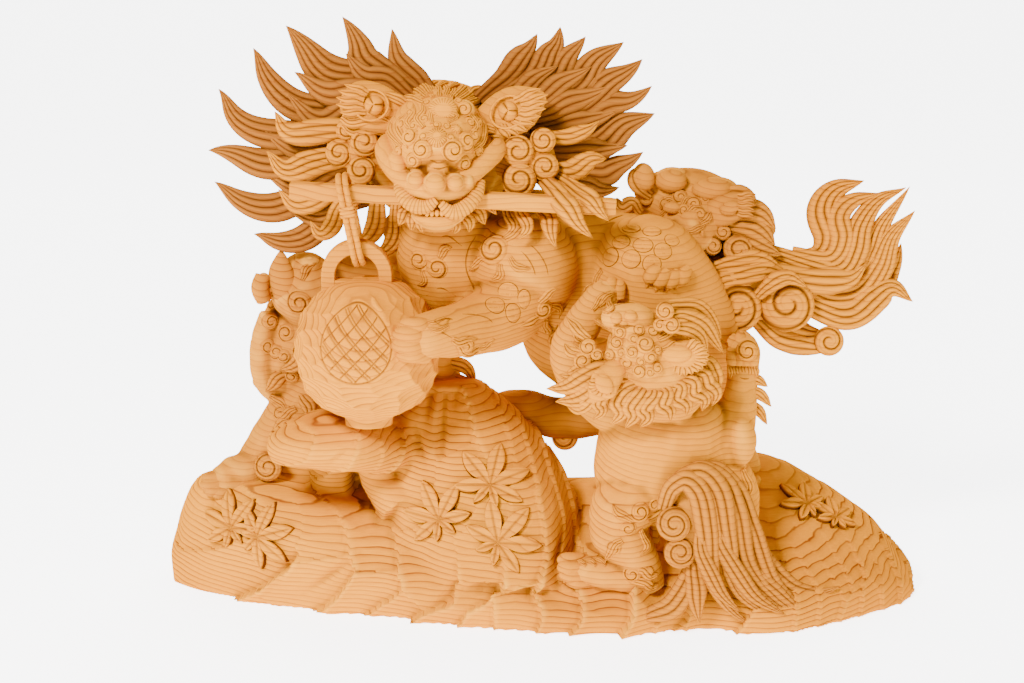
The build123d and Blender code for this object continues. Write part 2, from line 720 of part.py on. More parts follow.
tail_flow_rows_share = [
    (748, 258, 0.08, 0.75),
    (790, 266, 0.09, 0.92),
    (826, 278, 0.09, 1.00),
    (854, 278, 0.09, 0.94),
    (874, 256, 0.09, 0.70),
    (880, 234, 0.09, 0.40),
]
tail_lock_rows_share = [
    ((810, 290, 0.08), (868, 318, 0.09), (915, 299, 0.09), 0.95),
    ((830, 290, 0.10), (888, 296, 0.10), (912, 210, 0.10), 0.90),
    ((845, 280, 0.09), (886, 250, 0.08), (905, 185, 0.10), 1.00),
    ((815, 272, 0.08), (826, 228, 0.07), (864, 179, 0.09), 1.20),
    ((800, 265, 0.09), (818, 240, 0.09), (826, 196, 0.10), 0.90),
    ((845, 300, 0.11), (886, 290, 0.12), (901, 250, 0.13), 0.80),
]
with BuildPart() as tail_flames:
    forms = [
        form(tail_flow_rows_share, tail_root_girth, flat=0.5),
        *locks(tail_lock_rows_share, tail_lock_girth, wave_share=0.04, steps=6),
    ]
    add(forms)
    seat("tail_flames", tail_flames, forms)

with BuildPart() as tail_hook:
    forms = [
        lock((755, 305, 0.09), (800, 352, 0.08), (842, 336, 0.07), 0.8 * tail_lock_girth),
        *curl(827, 340, 0.05, 0.5 * tail_curl_girth, hand=-1, start_angle=200),
    ]
    add(forms)
    seat("tail_hook", tail_hook, forms)

# Cub in front, on its hind legs with its head thrown back
cub_rows_share = [
    (640, 520, -0.25, 0.40),
    (645, 497, -0.25, 0.80),
    (655, 467, -0.25, 0.96),
    (668, 437, -0.25, 1.00),
    (676, 415, -0.25, 0.80),
    (676, 402, -0.25, 0.40),
]
with BuildPart() as cub_body:
    add(form(cub_rows_share, cub_girth, flat=0.68))
    seat("cub_body", cub_body)

cub_head_rows_share = [
    (682, 405, -0.28, 0.55),
    (668, 387, -0.31, 0.94),
    (652, 366, -0.34, 1.00),
    (642, 346, -0.36, 0.86),
    (634, 328, -0.37, 0.62),
    (629, 317, -0.37, 0.26),
]
with BuildPart() as cub_head:
    add(form(cub_head_rows_share, cub_head_girth, flat=0.9))
    seat("cub_head", cub_head)

cub_jaw_rows_share = [(655, 352, -0.27, 0.9), (645, 332, -0.28, 1.0), (637, 315, -0.29, 0.6)]
with BuildPart() as cub_jaw:
    add(form(cub_jaw_rows_share, cub_jaw_girth))
    seat("cub_jaw", cub_jaw)

cub_ear_right_rows_share = [
    (655, 366, -0.38, 0.5),
    (674, 362, -0.40, 1.1),
    (695, 354, -0.41, 1.0),
    (716, 345, -0.40, 0.1),
]
with BuildPart() as cub_ear_right:
    add(form(cub_ear_right_rows_share, cub_ear_girth, flat=0.8))
    seat("cub_ear_right", cub_ear_right)

cub_ear_left_rows_share = [(640, 370, -0.37, 0.7), (622, 382, -0.40, 1.0), (603, 397, -0.40, 0.1)]
with BuildPart() as cub_ear_left:
    add(form(cub_ear_left_rows_share, cub_ear_girth, flat=0.8))
    seat("cub_ear_left", cub_ear_left)

cub_arm_left_rows_share = [
    (640, 420, -0.25, 0.90),
    (612, 405, -0.26, 1.00),
    (588, 380, -0.26, 0.96),
    (578, 352, -0.24, 0.84),
    (590, 322, -0.22, 0.72),
    (603, 300, -0.20, 0.72),
    (612, 285, -0.18, 0.60),
]
with BuildPart() as cub_arm_left:
    add(form(cub_arm_left_rows_share, cub_arm_girth))
    seat("cub_arm_left", cub_arm_left)

cub_arm_right_rows_share = [
    (700, 458, -0.23, 1.05),
    (722, 440, -0.23, 1.30),
    (737, 415, -0.21, 1.05),
    (743, 390, -0.18, 0.82),
    (743, 366, -0.14, 0.78),
    (742, 348, -0.10, 0.70),
    (740, 334, -0.06, 0.50),
]
with BuildPart() as cub_arm_right:
    add(form(cub_arm_right_rows_share, cub_arm_girth))
    seat("cub_arm_right", cub_arm_right)

cub_leg_left_rows_share = [
    (662, 480, -0.25, 0.60),
    (636, 496, -0.28, 1.05),
    (615, 512, -0.30, 1.00),
    (598, 526, -0.30, 0.50),
]
cub_shin_left_rows_share = [
    (604, 512, -0.30, 0.62),
    (616, 530, -0.30, 0.92),
    (632, 552, -0.29, 0.80),
    (646, 576, -0.28, 0.62),
    (650, 592, -0.28, 0.50),
]
cub_foot_left_rows_share = [
    (656, 574, -0.27, 0.50),
    (640, 576, -0.28, 0.66),
    (610, 576, -0.30, 0.66),
    (578, 572, -0.31, 0.54),
    (560, 570, -0.31, 0.26),
]
with BuildPart() as cub_leg_left:
    add(form(cub_leg_left_rows_share, cub_leg_girth))
    add(form(cub_shin_left_rows_share, cub_leg_girth))
    add(form(cub_foot_left_rows_share, cub_leg_girth))
    seat("cub_leg_left", cub_leg_left)

cub_leg_right_rows_share = [
    (685, 470, -0.22, 0.80),
    (718, 476, -0.24, 1.00),
    (746, 490, -0.24, 0.84),
    (752, 518, -0.24, 0.64),
    (742, 548, -0.24, 0.52),
    (738, 580, -0.24, 0.52),
    (738, 610, -0.24, 0.52),
]
with BuildPart() as cub_leg_right:
    add(form(cub_leg_right_rows_share, cub_leg_girth))
    seat("cub_leg_right", cub_leg_right)

cub_mane_rows_share = [
    ((640, 378, -0.40), (600, 385, -0.42), (553, 402, -0.38), 0.8),
    ((645, 385, -0.41), (610, 405, -0.43), (566, 414, -0.38), 0.9),
    ((652, 390, -0.41), (630, 418, -0.43), (597, 424, -0.38), 0.9),
    ((662, 392, -0.40), (648, 425, -0.43), (622, 440, -0.38), 1.0),
    ((672, 392, -0.39), (670, 430, -0.42), (650, 455, -0.37), 1.0),
    ((682, 390, -0.38), (698, 425, -0.40), (680, 455, -0.36), 1.0),
    ((690, 382, -0.36), (722, 405, -0.38), (716, 440, -0.34), 1.0),
]
with BuildPart() as cub_mane:
    forms = [
        *locks(cub_mane_rows_share, cub_lock_girth, steps=3),
    ]
    add(forms)
    seat("cub_mane", cub_mane, forms)

cub_tail_root_rows_share = [
    (690, 455, -0.34, 0.6),
    (690, 480, -0.36, 0.9),
    (686, 510, -0.37, 1.0),
    (684, 540, -0.37, 0.8),
]
with BuildPart() as cub_tail_curls:
    forms = [
        form(cub_tail_root_rows_share, cub_curl_girth),
        *curl(674, 524, -0.40, cub_curl_girth, start_angle=0),
        *curl(681, 552, -0.40, cub_curl_girth, hand=-1, start_angle=180),
    ]
    add(forms)
    seat("cub_tail_curls", cub_tail_curls, forms)

cub_tail_rows_share = [
    ((690, 540, -0.36), (672, 590, -0.38), (632, 633, -0.33), 1.2),
    ((694, 540, -0.36), (682, 600, -0.39), (703, 633, -0.345), 1.2),
    ((700, 520, -0.35), (712, 600, -0.39), (762, 632, -0.33), 1.2),
    ((705, 505, -0.34), (722, 588, -0.37), (796, 633, -0.32), 1.3),
    ((712, 495, -0.33), (748, 590, -0.34), (824, 626, -0.28), 1.1),
    ((715, 490, -0.32), (770, 590, -0.31), (838, 594, -0.24), 1.1),
]
with BuildPart() as cub_tail_flames:
    forms = [
        *locks(cub_tail_rows_share, cub_lock_girth),
    ]
    add(forms)
    seat("cub_tail_flames", cub_tail_flames, forms)

# Cub on the lion's back
back_cub_rows_share = [
    (638, 206, 0.15, 0.40),
    (660, 200, 0.15, 0.76),
    (690, 206, 0.15, 1.00),
    (720, 214, 0.15, 1.05),
    (748, 228, 0.14, 0.90),
    (768, 244, 0.13, 0.40),
]
back_cub_muzzle_rows_share = [
    (700, 215, 0.12, 0.9),
    (690, 228, 0.06, 0.8),
    (680, 238, 0.01, 0.55),
    (672, 240, -0.02, 0.3),
]
with BuildPart() as back_cub:
    add(form(back_cub_rows_share, back_cub_girth))
    add(form(back_cub_muzzle_rows_share, back_cub_girth, side=plumb))
    seat("back_cub", back_cub)

back_cub_lock_rows_share = [
    ((705, 205, 0.05), (735, 200, 0.03), (756, 206, 0.03), 1.4),
    ((712, 215, 0.05), (748, 214, 0.03), (776, 226, 0.03), 1.3),
    ((712, 225, 0.05), (745, 232, 0.03), (770, 248, 0.03), 1.2),
    ((645, 190, 0.08), (636, 182, 0.06), (638, 168, 0.06), 1.2),
]
with BuildPart() as back_cub_mane:
    forms = [
        *locks(back_cub_lock_rows_share, cub_lock_girth, steps=3),
    ]
    add(forms)
    seat("back_cub_mane", back_cub_mane, forms)

# Cub at the left, behind the jar
left_cub_rows_share = [
    (266, 396, 0.12, 0.40),
    (282, 378, 0.13, 0.80),
    (297, 350, 0.14, 1.00),
    (318, 320, 0.15, 1.00),
    (350, 292, 0.15, 0.86),
    (388, 276, 0.14, 0.55),
    (420, 270, 0.13, 0.40),
]
with BuildPart() as left_cub:
    add(form(left_cub_rows_share, left_cub_girth, flat=0.85))
    seat("left_cub", left_cub)

left_cub_head_rows_share = [
    (312, 315, 0.08, 0.5),
    (308, 298, 0.07, 0.74),
    (300, 276, 0.07, 0.74),
    (284, 262, 0.06, 0.4),
]
left_cub_ear_rows_share = [(285, 276, 0.04, 0.3), (280, 262, 0.03, 0.3), (281, 252, 0.03, 0.04)]
with BuildPart() as left_cub_head:
    add(form(left_cub_head_rows_share, left_cub_girth))
    add(form(left_cub_ear_rows_share, left_cub_girth))
    seat("left_cub_head", left_cub_head)

left_cub_lock_rows_share = [
    ((315, 292, 0.03), (292, 300, 0.00), (268, 318, 0.02), 1.2),
    ((318, 305, 0.03), (296, 330, -0.01), (266, 345, 0.02), 1.2),
    ((322, 320, 0.03), (306, 352, 0.00), (280, 372, 0.03), 1.2),
]
with BuildPart() as left_cub_mane:
    forms = [
        *locks(left_cub_lock_rows_share, cub_lock_girth, steps=3),
        *curl(297, 304, 0.00, 0.9 * cub_curl_girth, start_angle=90),
    ]
    add(forms)
    seat("left_cub_mane", left_cub_mane, forms)

left_cub_leg_rows_share = [
    (322, 375, 0.11, 1.10),
    (303, 398, 0.10, 1.00),
    (274, 430, 0.08, 0.74),
    (254, 458, 0.07, 0.62),
    (243, 478, 0.05, 0.66),
    (220, 484, 0.03, 0.54),
    (203, 486, 0.02, 0.30),
]
with BuildPart() as left_cub_leg:
    add(form(left_cub_leg_rows_share, left_cub_leg_girth))
    seat("left_cub_leg", left_cub_leg)

if __name__ == "__main__":
    os.makedirs("parts", exist_ok=True)
    for name, piece in pieces.items():
        export_step(piece, f"parts/{name}.step")
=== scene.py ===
"""A carved guardian lion with three cubs on a rock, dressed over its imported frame.

Places are worked out in millimetres, +Z up and +Y away from the viewer, and become metres in make().
A row of a carving table is (across, down, deep, ...): the place in the photograph in pixels, the depth
in millimetres, and then half-widths in millimetres.
"""

import bpy
import numpy as np
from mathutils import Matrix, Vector
from mathutils.bvhtree import BVHTree


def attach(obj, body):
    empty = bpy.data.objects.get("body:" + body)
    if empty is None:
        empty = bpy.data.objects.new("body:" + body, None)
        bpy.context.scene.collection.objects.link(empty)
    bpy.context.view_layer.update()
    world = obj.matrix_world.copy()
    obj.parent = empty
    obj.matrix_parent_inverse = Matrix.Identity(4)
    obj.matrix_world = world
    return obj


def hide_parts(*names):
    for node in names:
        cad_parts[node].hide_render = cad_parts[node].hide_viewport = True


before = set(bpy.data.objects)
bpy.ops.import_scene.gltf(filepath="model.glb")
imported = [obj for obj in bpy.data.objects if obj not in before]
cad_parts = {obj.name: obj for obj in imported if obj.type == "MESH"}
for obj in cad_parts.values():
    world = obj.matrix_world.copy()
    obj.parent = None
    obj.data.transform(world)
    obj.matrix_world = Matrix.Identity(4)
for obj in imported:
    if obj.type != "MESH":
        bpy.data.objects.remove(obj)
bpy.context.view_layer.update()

# The photograph's camera, a long lens that looks down a little
focal_pixels = 2418.0
middle_pixels = np.array((512.0, 341.5))
tilt = np.radians(14.0)
sight = np.array((0.0, np.cos(tilt), -np.sin(tilt)))
upward = np.array((0.0, np.sin(tilt), np.cos(tilt)))
aim = np.array((-15.6, 0.0, 146.41))
eye_distance = 1344.0
eye = aim - eye_distance * sight
plumb = np.array((0.0, 0.0, 1.0))
toward = np.array((0.0, -1.0, 0.0))


# Surfaces


def unit(vectors):
    """Vectors divided by their lengths."""
    vectors = np.asarray(vectors, float)
    return vectors / np.maximum(np.linalg.norm(vectors, axis=-1, keepdims=True), 1e-9)


def rays(across, down):
    """Directions from the eye through pixels: sight + x (1, 0, 0) + y upward, with x and y in focal lengths."""
    x = (np.asarray(across, float) - middle_pixels[0]) / focal_pixels
    y = (middle_pixels[1] - np.asarray(down, float)) / focal_pixels
    return sight + x[..., None] * np.array((1.0, 0.0, 0.0)) + y[..., None] * upward


def spots(rows):
    """Turns (across, down, deep, ...) into (x, y, z, ...): eye + ray * (deep - eye_y) / ray_y."""
    rows = np.atleast_2d(np.asarray(rows, float))
    ray = rays(rows[:, 0], rows[:, 1])
    places = eye + ray * ((rows[:, 2] - eye[1]) / ray[:, 1])[:, None]
    return np.hstack([places, rows[:, 3:]])


def run(stations, count):
    """A Catmull-Rom curve through stations of any number of columns, at count even steps."""
    p = np.asarray(stations, float)
    p = np.vstack([2 * p[0] - p[1], p, 2 * p[-1] - p[-2]])
    t = np.linspace(0, len(p) - 3, count)
    k = np.minimum(t.astype(int), len(p) - 4)
    f = (t - k)[:, None]
    a, b, c, d = p[k], p[k + 1], p[k + 2], p[k + 3]
    return 0.5 * (2 * b + (c - a) * f + (2 * a - 5 * b + 4 * c - d) * f**2 + (3 * b - a - 3 * c + d) * f**3)


def oval(count):
    """Corners of a round section: (cos a, sin a)."""
    a = np.linspace(0, 2 * np.pi, count, endpoint=False)
    return np.stack([np.cos(a), np.sin(a)], -1)


def skin(grid, hollow=None):
    """Closes rings of points with a fan at each end, and turns the faces out, where sum p . (q x r) is positive."""
    n, m = grid.shape[:2]
    k = np.arange(n * m).reshape(n, m)
    after = np.roll(k, -1, axis=1)
    a, b, c, d = k[:-1].ravel(), after[:-1].ravel(), after[1:].ravel(), k[1:].ravel()
    first, last = np.full(m, n * m), np.full(m, n * m + 1)
    corners = [(a, b, c), (a, c, d), (first, after[0], k[0]), (last, k[-1], after[-1])]
    tris = np.concatenate([np.stack(corner, -1) for corner in corners])
    verts = np.vstack([grid.reshape(-1, 3), grid[0].mean(0), grid[-1].mean(0)])
    # When hollows are given, the first end's middle gets 0.3 of painted shade and the last none
    shade = np.zeros(len(verts)) if hollow is None else np.append(np.ravel(hollow), (0.3, 0.0))
    p, q, r = verts[tris[:, 0]], verts[tris[:, 1]], verts[tris[:, 2]]
    if np.einsum("ij,ij->", p, np.cross(q, r)) < 0:
        tris = tris[:, ::-1]
    return verts, tris, shade


def carried(line, side, up, wide, thick, section):
    """A section at each place of a line: place + side * wide * x + up * thick * y."""
    grid = line[:, None] + side[:, None] * (wide[:, None] * section[..., 0])[..., None]
    return grid + up[:, None] * (thick[:, None] * section[..., 1])[..., None]


def sweep(path, wide, thick=None, section=None, out=toward, crease=0.6):
    """Carries a section along a path: place + side * wide * x + up * thick * y, where side = along x out
    and up = side x along. The sides of the section get painted shade, as hollow, by crease * |x|^3."""
    section = oval(12) if section is None else section
    wide = np.broadcast_to(np.asarray(wide, float), len(path))
    thick = wide if thick is None else np.broadcast_to(np.asarray(thick, float), len(path))
    along = unit(np.gradient(path, axis=0))
    side = unit(np.cross(along, out))
    up = np.cross(side, along)
    grid = carried(path, side, up, wide, thick, section)
    return skin(grid, np.broadcast_to(crease * np.abs(section[..., 0]) ** 3, grid.shape[:2]))


def limb(rows, flat=1.0, count=28, out=toward, sides=20, crease=0.0):
    """A body or limb: an oval carried through a carving table's stations, flattened along its depth."""
    line = run(spots(rows), count)
    wide = np.maximum(line[:, 3], 0.05)
    return sweep(line[:, :3], wide, wide * flat, oval(sides), out, crease)


def axes_of(out=None, turn=0.0):
    """Axes of a form that faces out, to the viewer if nothing is given: u to its right and v up, both turned
    about w."""
    w = unit(-sight if out is None else out)
    u = unit(np.cross(plumb, w))
    v = np.cross(w, u)
    return u * np.cos(turn) + v * np.sin(turn), v * np.cos(turn) - u * np.sin(turn), w


def bead(centre, radii, out=None, turn=0.0, rings=14, sides=20):
    """An egg: centre + u rx sin a cos b + v ry sin a sin b + w rz cos a, with w facing out."""
    u, v, w = axes_of(out, turn)
    radii = np.broadcast_to(np.asarray(radii, float), 3)
    a = np.linspace(0.04, np.pi - 0.04, rings)[:, None, None]
    b = np.linspace(0, 2 * np.pi, sides, endpoint=False)[None, :, None]
    grid = np.asarray(centre) + radii[0] * np.sin(a) * np.cos(b) * u + radii[1] * np.sin(a) * np.sin(b) * v
    return skin(grid + radii[2] * np.cos(a) * w + 0 * b)


def digits(places, rows, flat=0.95, count=12, **ways):
    """A toe, finger or claw at each place (across, down, deep, girth): the same short rows of stations,
    shifted to the place and made wider by its girth."""
    rows = np.array(rows, float)
    return [
        limb(np.column_stack([rows[:, :3] + place[:3], rows[:, 3] * place[3]]), flat, count, **ways)
        for place in np.array(places, float)
    ]


def knob(across, down, deep, radii, **ways):
    """An egg at a pixel and a depth."""
    return bead(spots((across, down, deep))[0], radii, **ways)


def knobs(*rows):
    """An egg for each row: across, down, deep, its radii, and its turn where it has one."""
    return [knob(*row[:3], row[3:6], turn=row[6] if row[6:] else 0.0) for row in rows]


def dome(centre, radius, out, stretch, heights, shade, skirt=0.6, turn=0.0):
    """A round field that stands on a surface: centre + r (cos a u + sin a v) + height(r, a) w, closed below by
    a skirt. Heights and shade are arrays of rings by corners, from the rim in to the middle."""
    u, v, w = axes_of(out, turn)
    rings, corners = heights.shape
    r = radius * (1 - np.linspace(0, 0.985, rings))[:, None]
    a = np.linspace(0, 2 * np.pi, corners, endpoint=False)[None]
    flat = (stretch * r * np.cos(a))[..., None] * u + (r * np.sin(a))[..., None] * v
    grid = np.asarray(centre) + flat + heights[..., None] * w
    foot = np.asarray(centre) + 0.96 * flat[:1] - skirt * radius * w
    # The skirt below the rim gets 0.9 of painted shade
    return skin(np.concatenate([foot, grid]), np.concatenate([np.full((1, corners), 0.9), shade]))


def snail(centre, radius, out=None, hand=1, start=0.0, turns=1.7, rise=0.5, stretch=1.0, turn=0.0):
    """A snail curl cut in a dome: height = rise R (1 - (r / R)^3)^0.6, less a V groove on the spiral
    turns (1 - r / R) = angle / 2 pi that ends at a round middle, and a finer groove beside it."""
    rings, corners = (24, 60) if radius > 5 else (16, 42)
    near = np.linspace(0, 0.985, rings)[:, None]
    a = np.linspace(0, 2 * np.pi, corners, endpoint=False)[None]
    phase = turns * near - hand * (a - np.radians(start)) / (2 * np.pi)
    gap = np.abs(phase - np.round(phase))
    fine = np.abs(phase - 0.45 - np.round(phase - 0.45))
    middle = np.clip((0.86 - near) / 0.12, 0, 1)
    cut = np.exp(-((gap / 0.12) ** 2)) * middle
    scratch = 0.3 * np.exp(-((fine / 0.07) ** 2)) * middle
    heights = rise * radius * (1 - (1 - near) ** 3) ** 0.6 - radius / turns * (0.27 * cut + 0.2 * scratch)
    # Painted shade darkens the spiral groove and, less, the finer groove
    return [dome(centre, radius, out, stretch, heights, np.clip(0.95 * cut + scratch, 0, 1), 0.7, turn)]


def rosette(centre, radius, out=None, pleats=15, rise=0.6, stretch=1.0, turn=0.0, inner=0.3, depth=0.16):
    """A button with pleats: a dome with V grooves that run out from its middle, |sin(pleats a / 2)| -> 0."""
    near = np.linspace(0, 0.985, 14)[:, None]
    a = np.linspace(0, 2 * np.pi, max(8 * pleats, 36), endpoint=False)[None]
    groove = (1 - np.abs(np.sin(pleats * a / 2))) ** 3 * np.clip((1 - inner - near) / 0.12, 0, 1)
    heights = rise * radius * (1 - (1 - near) ** 2.6) ** 0.6 - depth * radius * groove
    # Painted shade darkens the pleats' grooves
    return [dome(centre, radius, out, stretch, heights, 0.9 * groove, 0.7, turn)]


def button(across, down, deep, radius, **ways):
    """A pleated button at a pixel and a depth."""
    return rosette(spots((across, down, deep))[0], radius, **ways)


def curl(across, down, deep, radius, **ways):
    """A snail curl at a pixel and a depth."""
    return snail(spots((across, down, deep))[0], radius, **ways)


def curls(*rows, **ways):
    """A snail curl for each row: across, down, deep, radius, hand, start."""
    return [curl(*place, hand=hand, start=start, **ways)[0] for *place, hand, start in rows]


def flutes(ridges):
    """Corners of an oval with ridges on both faces, y = +-sqrt(1 - x^2) (1 - 0.3 (1 - ridge)) with
    ridge = |sin(pi ridges (x + 1) / 2)|^0.8, and how deep in a groove each corner lies."""
    x = -np.cos(np.linspace(0, np.pi, 7 * ridges + 3))
    ridge = np.abs(np.sin(np.pi * ridges * (x + 1) / 2)) ** 0.8
    y = np.sqrt(np.maximum(1 - x**2, 0)) * (1 - 0.3 * (1 - ridge))
    low = (1 - ridge) ** 1.3 * (np.abs(x) < 0.985)
    section = np.stack([np.concatenate([x, x[-2:0:-1]]), np.concatenate([-y, y[-2:0:-1]])], -1)
    return section, np.concatenate([low, low[-2:0:-1]])


def flame(points, width, ridges=None, wave=0.025, steps=44, seed=1, out=None, thick=0.6, root=0.62, sunk=0.0):
    """A flame lock: a fluted oval carried along a waving curve. Its half-width swells from root to 1 by
    sin(pi t / 1.1)^1.5, and from t = 0.5 closes as 1 - ((t - 0.5) / 0.5)^1.7 to its point. The flutes
    drift sideways inside it by 0.07 sin(9 t). Painted shade darkens the flutes' grooves, and makes its root
    browner by a share times (1 - t)^2."""
    chance = np.random.default_rng(seed)
    line = run(points, steps)[:, :3]
    facing = unit(-sight if out is None else out)
    length = np.linalg.norm(np.diff(line, axis=0), axis=1).sum()
    t = np.linspace(0, 1, steps)
    side = unit(np.cross(unit(np.gradient(line, axis=0)), facing))
    sway = wave * length * np.sin(2 * np.pi * (1.15 * t + 0.1 * chance.random())) * np.minimum(1, 3 * t)
    line = line + side * sway[:, None]
    swell = root + (1 - root) * np.sin(np.pi * np.clip(t / 1.1, 0, 0.5)) ** 1.5
    close = 1 - np.clip((t - 0.5) / 0.5, 0, 1) ** 1.7
    wide = width * swell * close + 0.12
    section, low = flutes(ridges or max(3, int(round(width * 2 / 4.3))))
    drift = 0.07 * np.sin(9 * t + 6 * chance.random())[:, None] * (1 - section[None, :, 0] ** 2)
    moving = np.stack([section[None, :, 0] + drift, section[None, :, 1] + 0 * drift], -1)
    along = unit(np.gradient(line, axis=0))
    side = unit(np.cross(along, facing))
    up = np.cross(side, along)
    deep = np.maximum(wide * thick, np.minimum(wide, 1.2))
    # Painted shade in the flutes' grooves and at the root
    shade = 0.95 * low * np.clip(1.15 - 0.25 * t, 0, 1)[:, None] + sunk * (1 - t[:, None]) ** 2
    return [skin(carried(line, side, up, wide, deep, moving), np.clip(shade, 0, 1))]


def pleated(rows, pleats, flat=1.0, depth=0.17):
    """A roll with pleats across it: a limb whose radius falls by depth where |sin(pi pleats t)| -> 0."""
    line = run(spots(rows), 8 * pleats)
    t = np.linspace(0, 1, len(line))
    low = (1 - np.abs(np.sin(np.pi * pleats * t))) ** 2.5
    wide = np.maximum(line[:, 3], 0.05) * (1 - depth * low)
    verts, tris, _ = sweep(line[:, :3], wide, wide * flat, oval(18), toward, 0.0)
    # Painted shade darkens the pleats' grooves, and the end middles get 0.2
    return verts, tris, np.append(np.repeat(0.9 * low, 18), (0.2, 0.2))


def tufts(table, **ways):
    """A flame lock for each row, which is the lock's stations and then its half-width."""
    parts = []
    for k, (*rows, width) in enumerate(table):
        parts += flame(spots(rows), width, seed=11 + 7 * k, **ways)
    return parts


def gather(parts):
    """Joins parts into one set of vertices, triangles and hollows."""
    ends = np.cumsum([0] + [len(part[0]) for part in parts])
    tris = np.concatenate([part[1] + end for part, end in zip(parts, ends)])
    return np.concatenate([part[0] for part in parts]), tris, np.concatenate([part[2] for part in parts])


def mesh_of(name, part):
    """Puts a part's arrays into a mesh, in metres."""
    verts, tris, hollow = part
    mesh = bpy.data.meshes.new(name)
    mesh.vertices.add(len(verts))
    mesh.vertices.foreach_set("co", (verts / 1000).astype(np.float32).ravel())
    mesh.loops.add(3 * len(tris))
    mesh.loops.foreach_set("vertex_index", tris.astype(np.int32).ravel())
    mesh.polygons.add(len(tris))
    mesh.polygons.foreach_set("loop_start", np.arange(0, 3 * len(tris), 3, dtype=np.int32))
    mesh.update(calc_edges=True)
    layer = mesh.attributes.new("hollow", "FLOAT", "POINT")
    layer.data.foreach_set("value", hollow.astype(np.float32))
    return mesh


def summed(places, weights, count):
    """The sum of the rows of weights that belong to each of count places."""
    return np.stack([np.bincount(places, weights=column, minlength=count) for column in weights.T], -1)


def smoothed(values, edges, rounds, share=0.5):
    """Moves each value towards its neighbours' mean: v + share * (mean - v)."""
    values = np.array(values, float)
    flat = values.reshape(len(values), -1)
    place, neighbour = np.concatenate([edges, edges[:, ::-1]]).T
    count = np.bincount(place, minlength=len(flat))[:, None]
    for _ in range(rounds):
        flat = flat + share * (summed(place, flat[neighbour], len(flat)) / np.maximum(count, 1) - flat)
    return flat.reshape(values.shape)


def normals_of(verts, tris):
    """Unit normals at the vertices: the sum of (q - p) x (r - p) over the faces that meet there."""
    p, q, r = verts[tris[:, 0]], verts[tris[:, 1]], verts[tris[:, 2]]
    face = np.cross(q - p, r - p)
    return unit(sum(summed(corner, face, len(verts)) for corner in tris.T))


def edges_of(tris):
    """The edges of triangles, once each."""
    edges = np.sort(np.concatenate([tris[:, :2], tris[:, 1:], tris[:, ::2]]), axis=1)
    return np.unique(edges, axis=0)


def dished(part, gain=1.0):
    """Marks hollows for painted shade, and ridges with negative values for a painted highlight: the height of the
    neighbours' mean over a vertex, along its normal, in edge lengths.
    """
    verts, tris, _ = part
    edges = edges_of(tris)
    normal = normals_of(verts, tris)
    length = np.linalg.norm(verts[edges[:, 0]] - verts[edges[:, 1]], axis=1).mean()
    bend = np.einsum("ij,ij->i", smoothed(verts, edges, 1, 1.0) - verts, normal) / length
    return verts, tris, np.clip(gain * smoothed(bend, edges, 3), -1, 1)


def fuse(parts, voxel, rounds=4, gain=6.0, press=None):
    """Runs parts together into one skin of voxels, smooths it, presses a pattern in along its normals and
    marks its hollows and ridges for painted shade and a painted highlight."""
    raw = bpy.data.objects.new("raw", mesh_of("raw", gather(parts)))
    bpy.context.scene.collection.objects.link(raw)
    remesh = raw.modifiers.new("voxels", "REMESH")
    remesh.mode = "VOXEL"
    remesh.voxel_size = voxel / 1000
    bpy.context.view_layer.update()
    mesh = bpy.data.meshes.new_from_object(raw.evaluated_get(bpy.context.evaluated_depsgraph_get()))
    verts = np.empty(3 * len(mesh.vertices), np.float32)
    mesh.vertices.foreach_get("co", verts)
    mesh.calc_loop_triangles()
    tris = np.empty(3 * len(mesh.loop_triangles), np.int32)
    mesh.loop_triangles.foreach_get("vertices", tris)
    for old in (raw.data, mesh):
        bpy.data.meshes.remove(old)
    verts, tris = verts.reshape(-1, 3).astype(float) * 1000, tris.reshape(-1, 3)
    verts = smoothed(verts, edges_of(tris), rounds)
    if press is not None:
        verts = verts + normals_of(verts, tris) * press(verts, normals_of(verts, tris))[:, None]
    return dished((verts, tris, np.zeros(len(verts))), gain)


def lay(tree, across, down, sink=0.0):
    """Where the sight line of a pixel first meets a surface, or comes nearest to it, sunk along its normal,
    and that normal."""
    place, normal, _, _ = tree.ray_cast(Vector(eye), Vector(rays(across, down)))
    if place is None:
        place, normal, _, _ = tree.find_nearest(Vector(spots((across, down, 0))[0]))
    return np.array(place) - sink * np.array(normal), np.array(normal)


def make(name, parts, nodes, body="carving", crease=50.0, material=None):
    """Makes the piece of a part or parts, puts it on a body and lets it stand for CAD nodes."""
    verts, tris, hollow = gather(parts) if isinstance(parts, list) else parts
    verts = np.array(verts)
    verts[:, 2] = np.maximum(verts[:, 2], 0.0)
    mesh = mesh_of(name, (verts, tris, hollow))
    mesh.shade_smooth()
    mesh.set_sharp_from_angle(angle=np.radians(crease))
    piece = bpy.data.objects.new(name, mesh)
    bpy.context.scene.collection.objects.link(piece)
    mesh.materials.append(material or carved_wood)
    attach(piece, body)
    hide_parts(*nodes)
    return piece


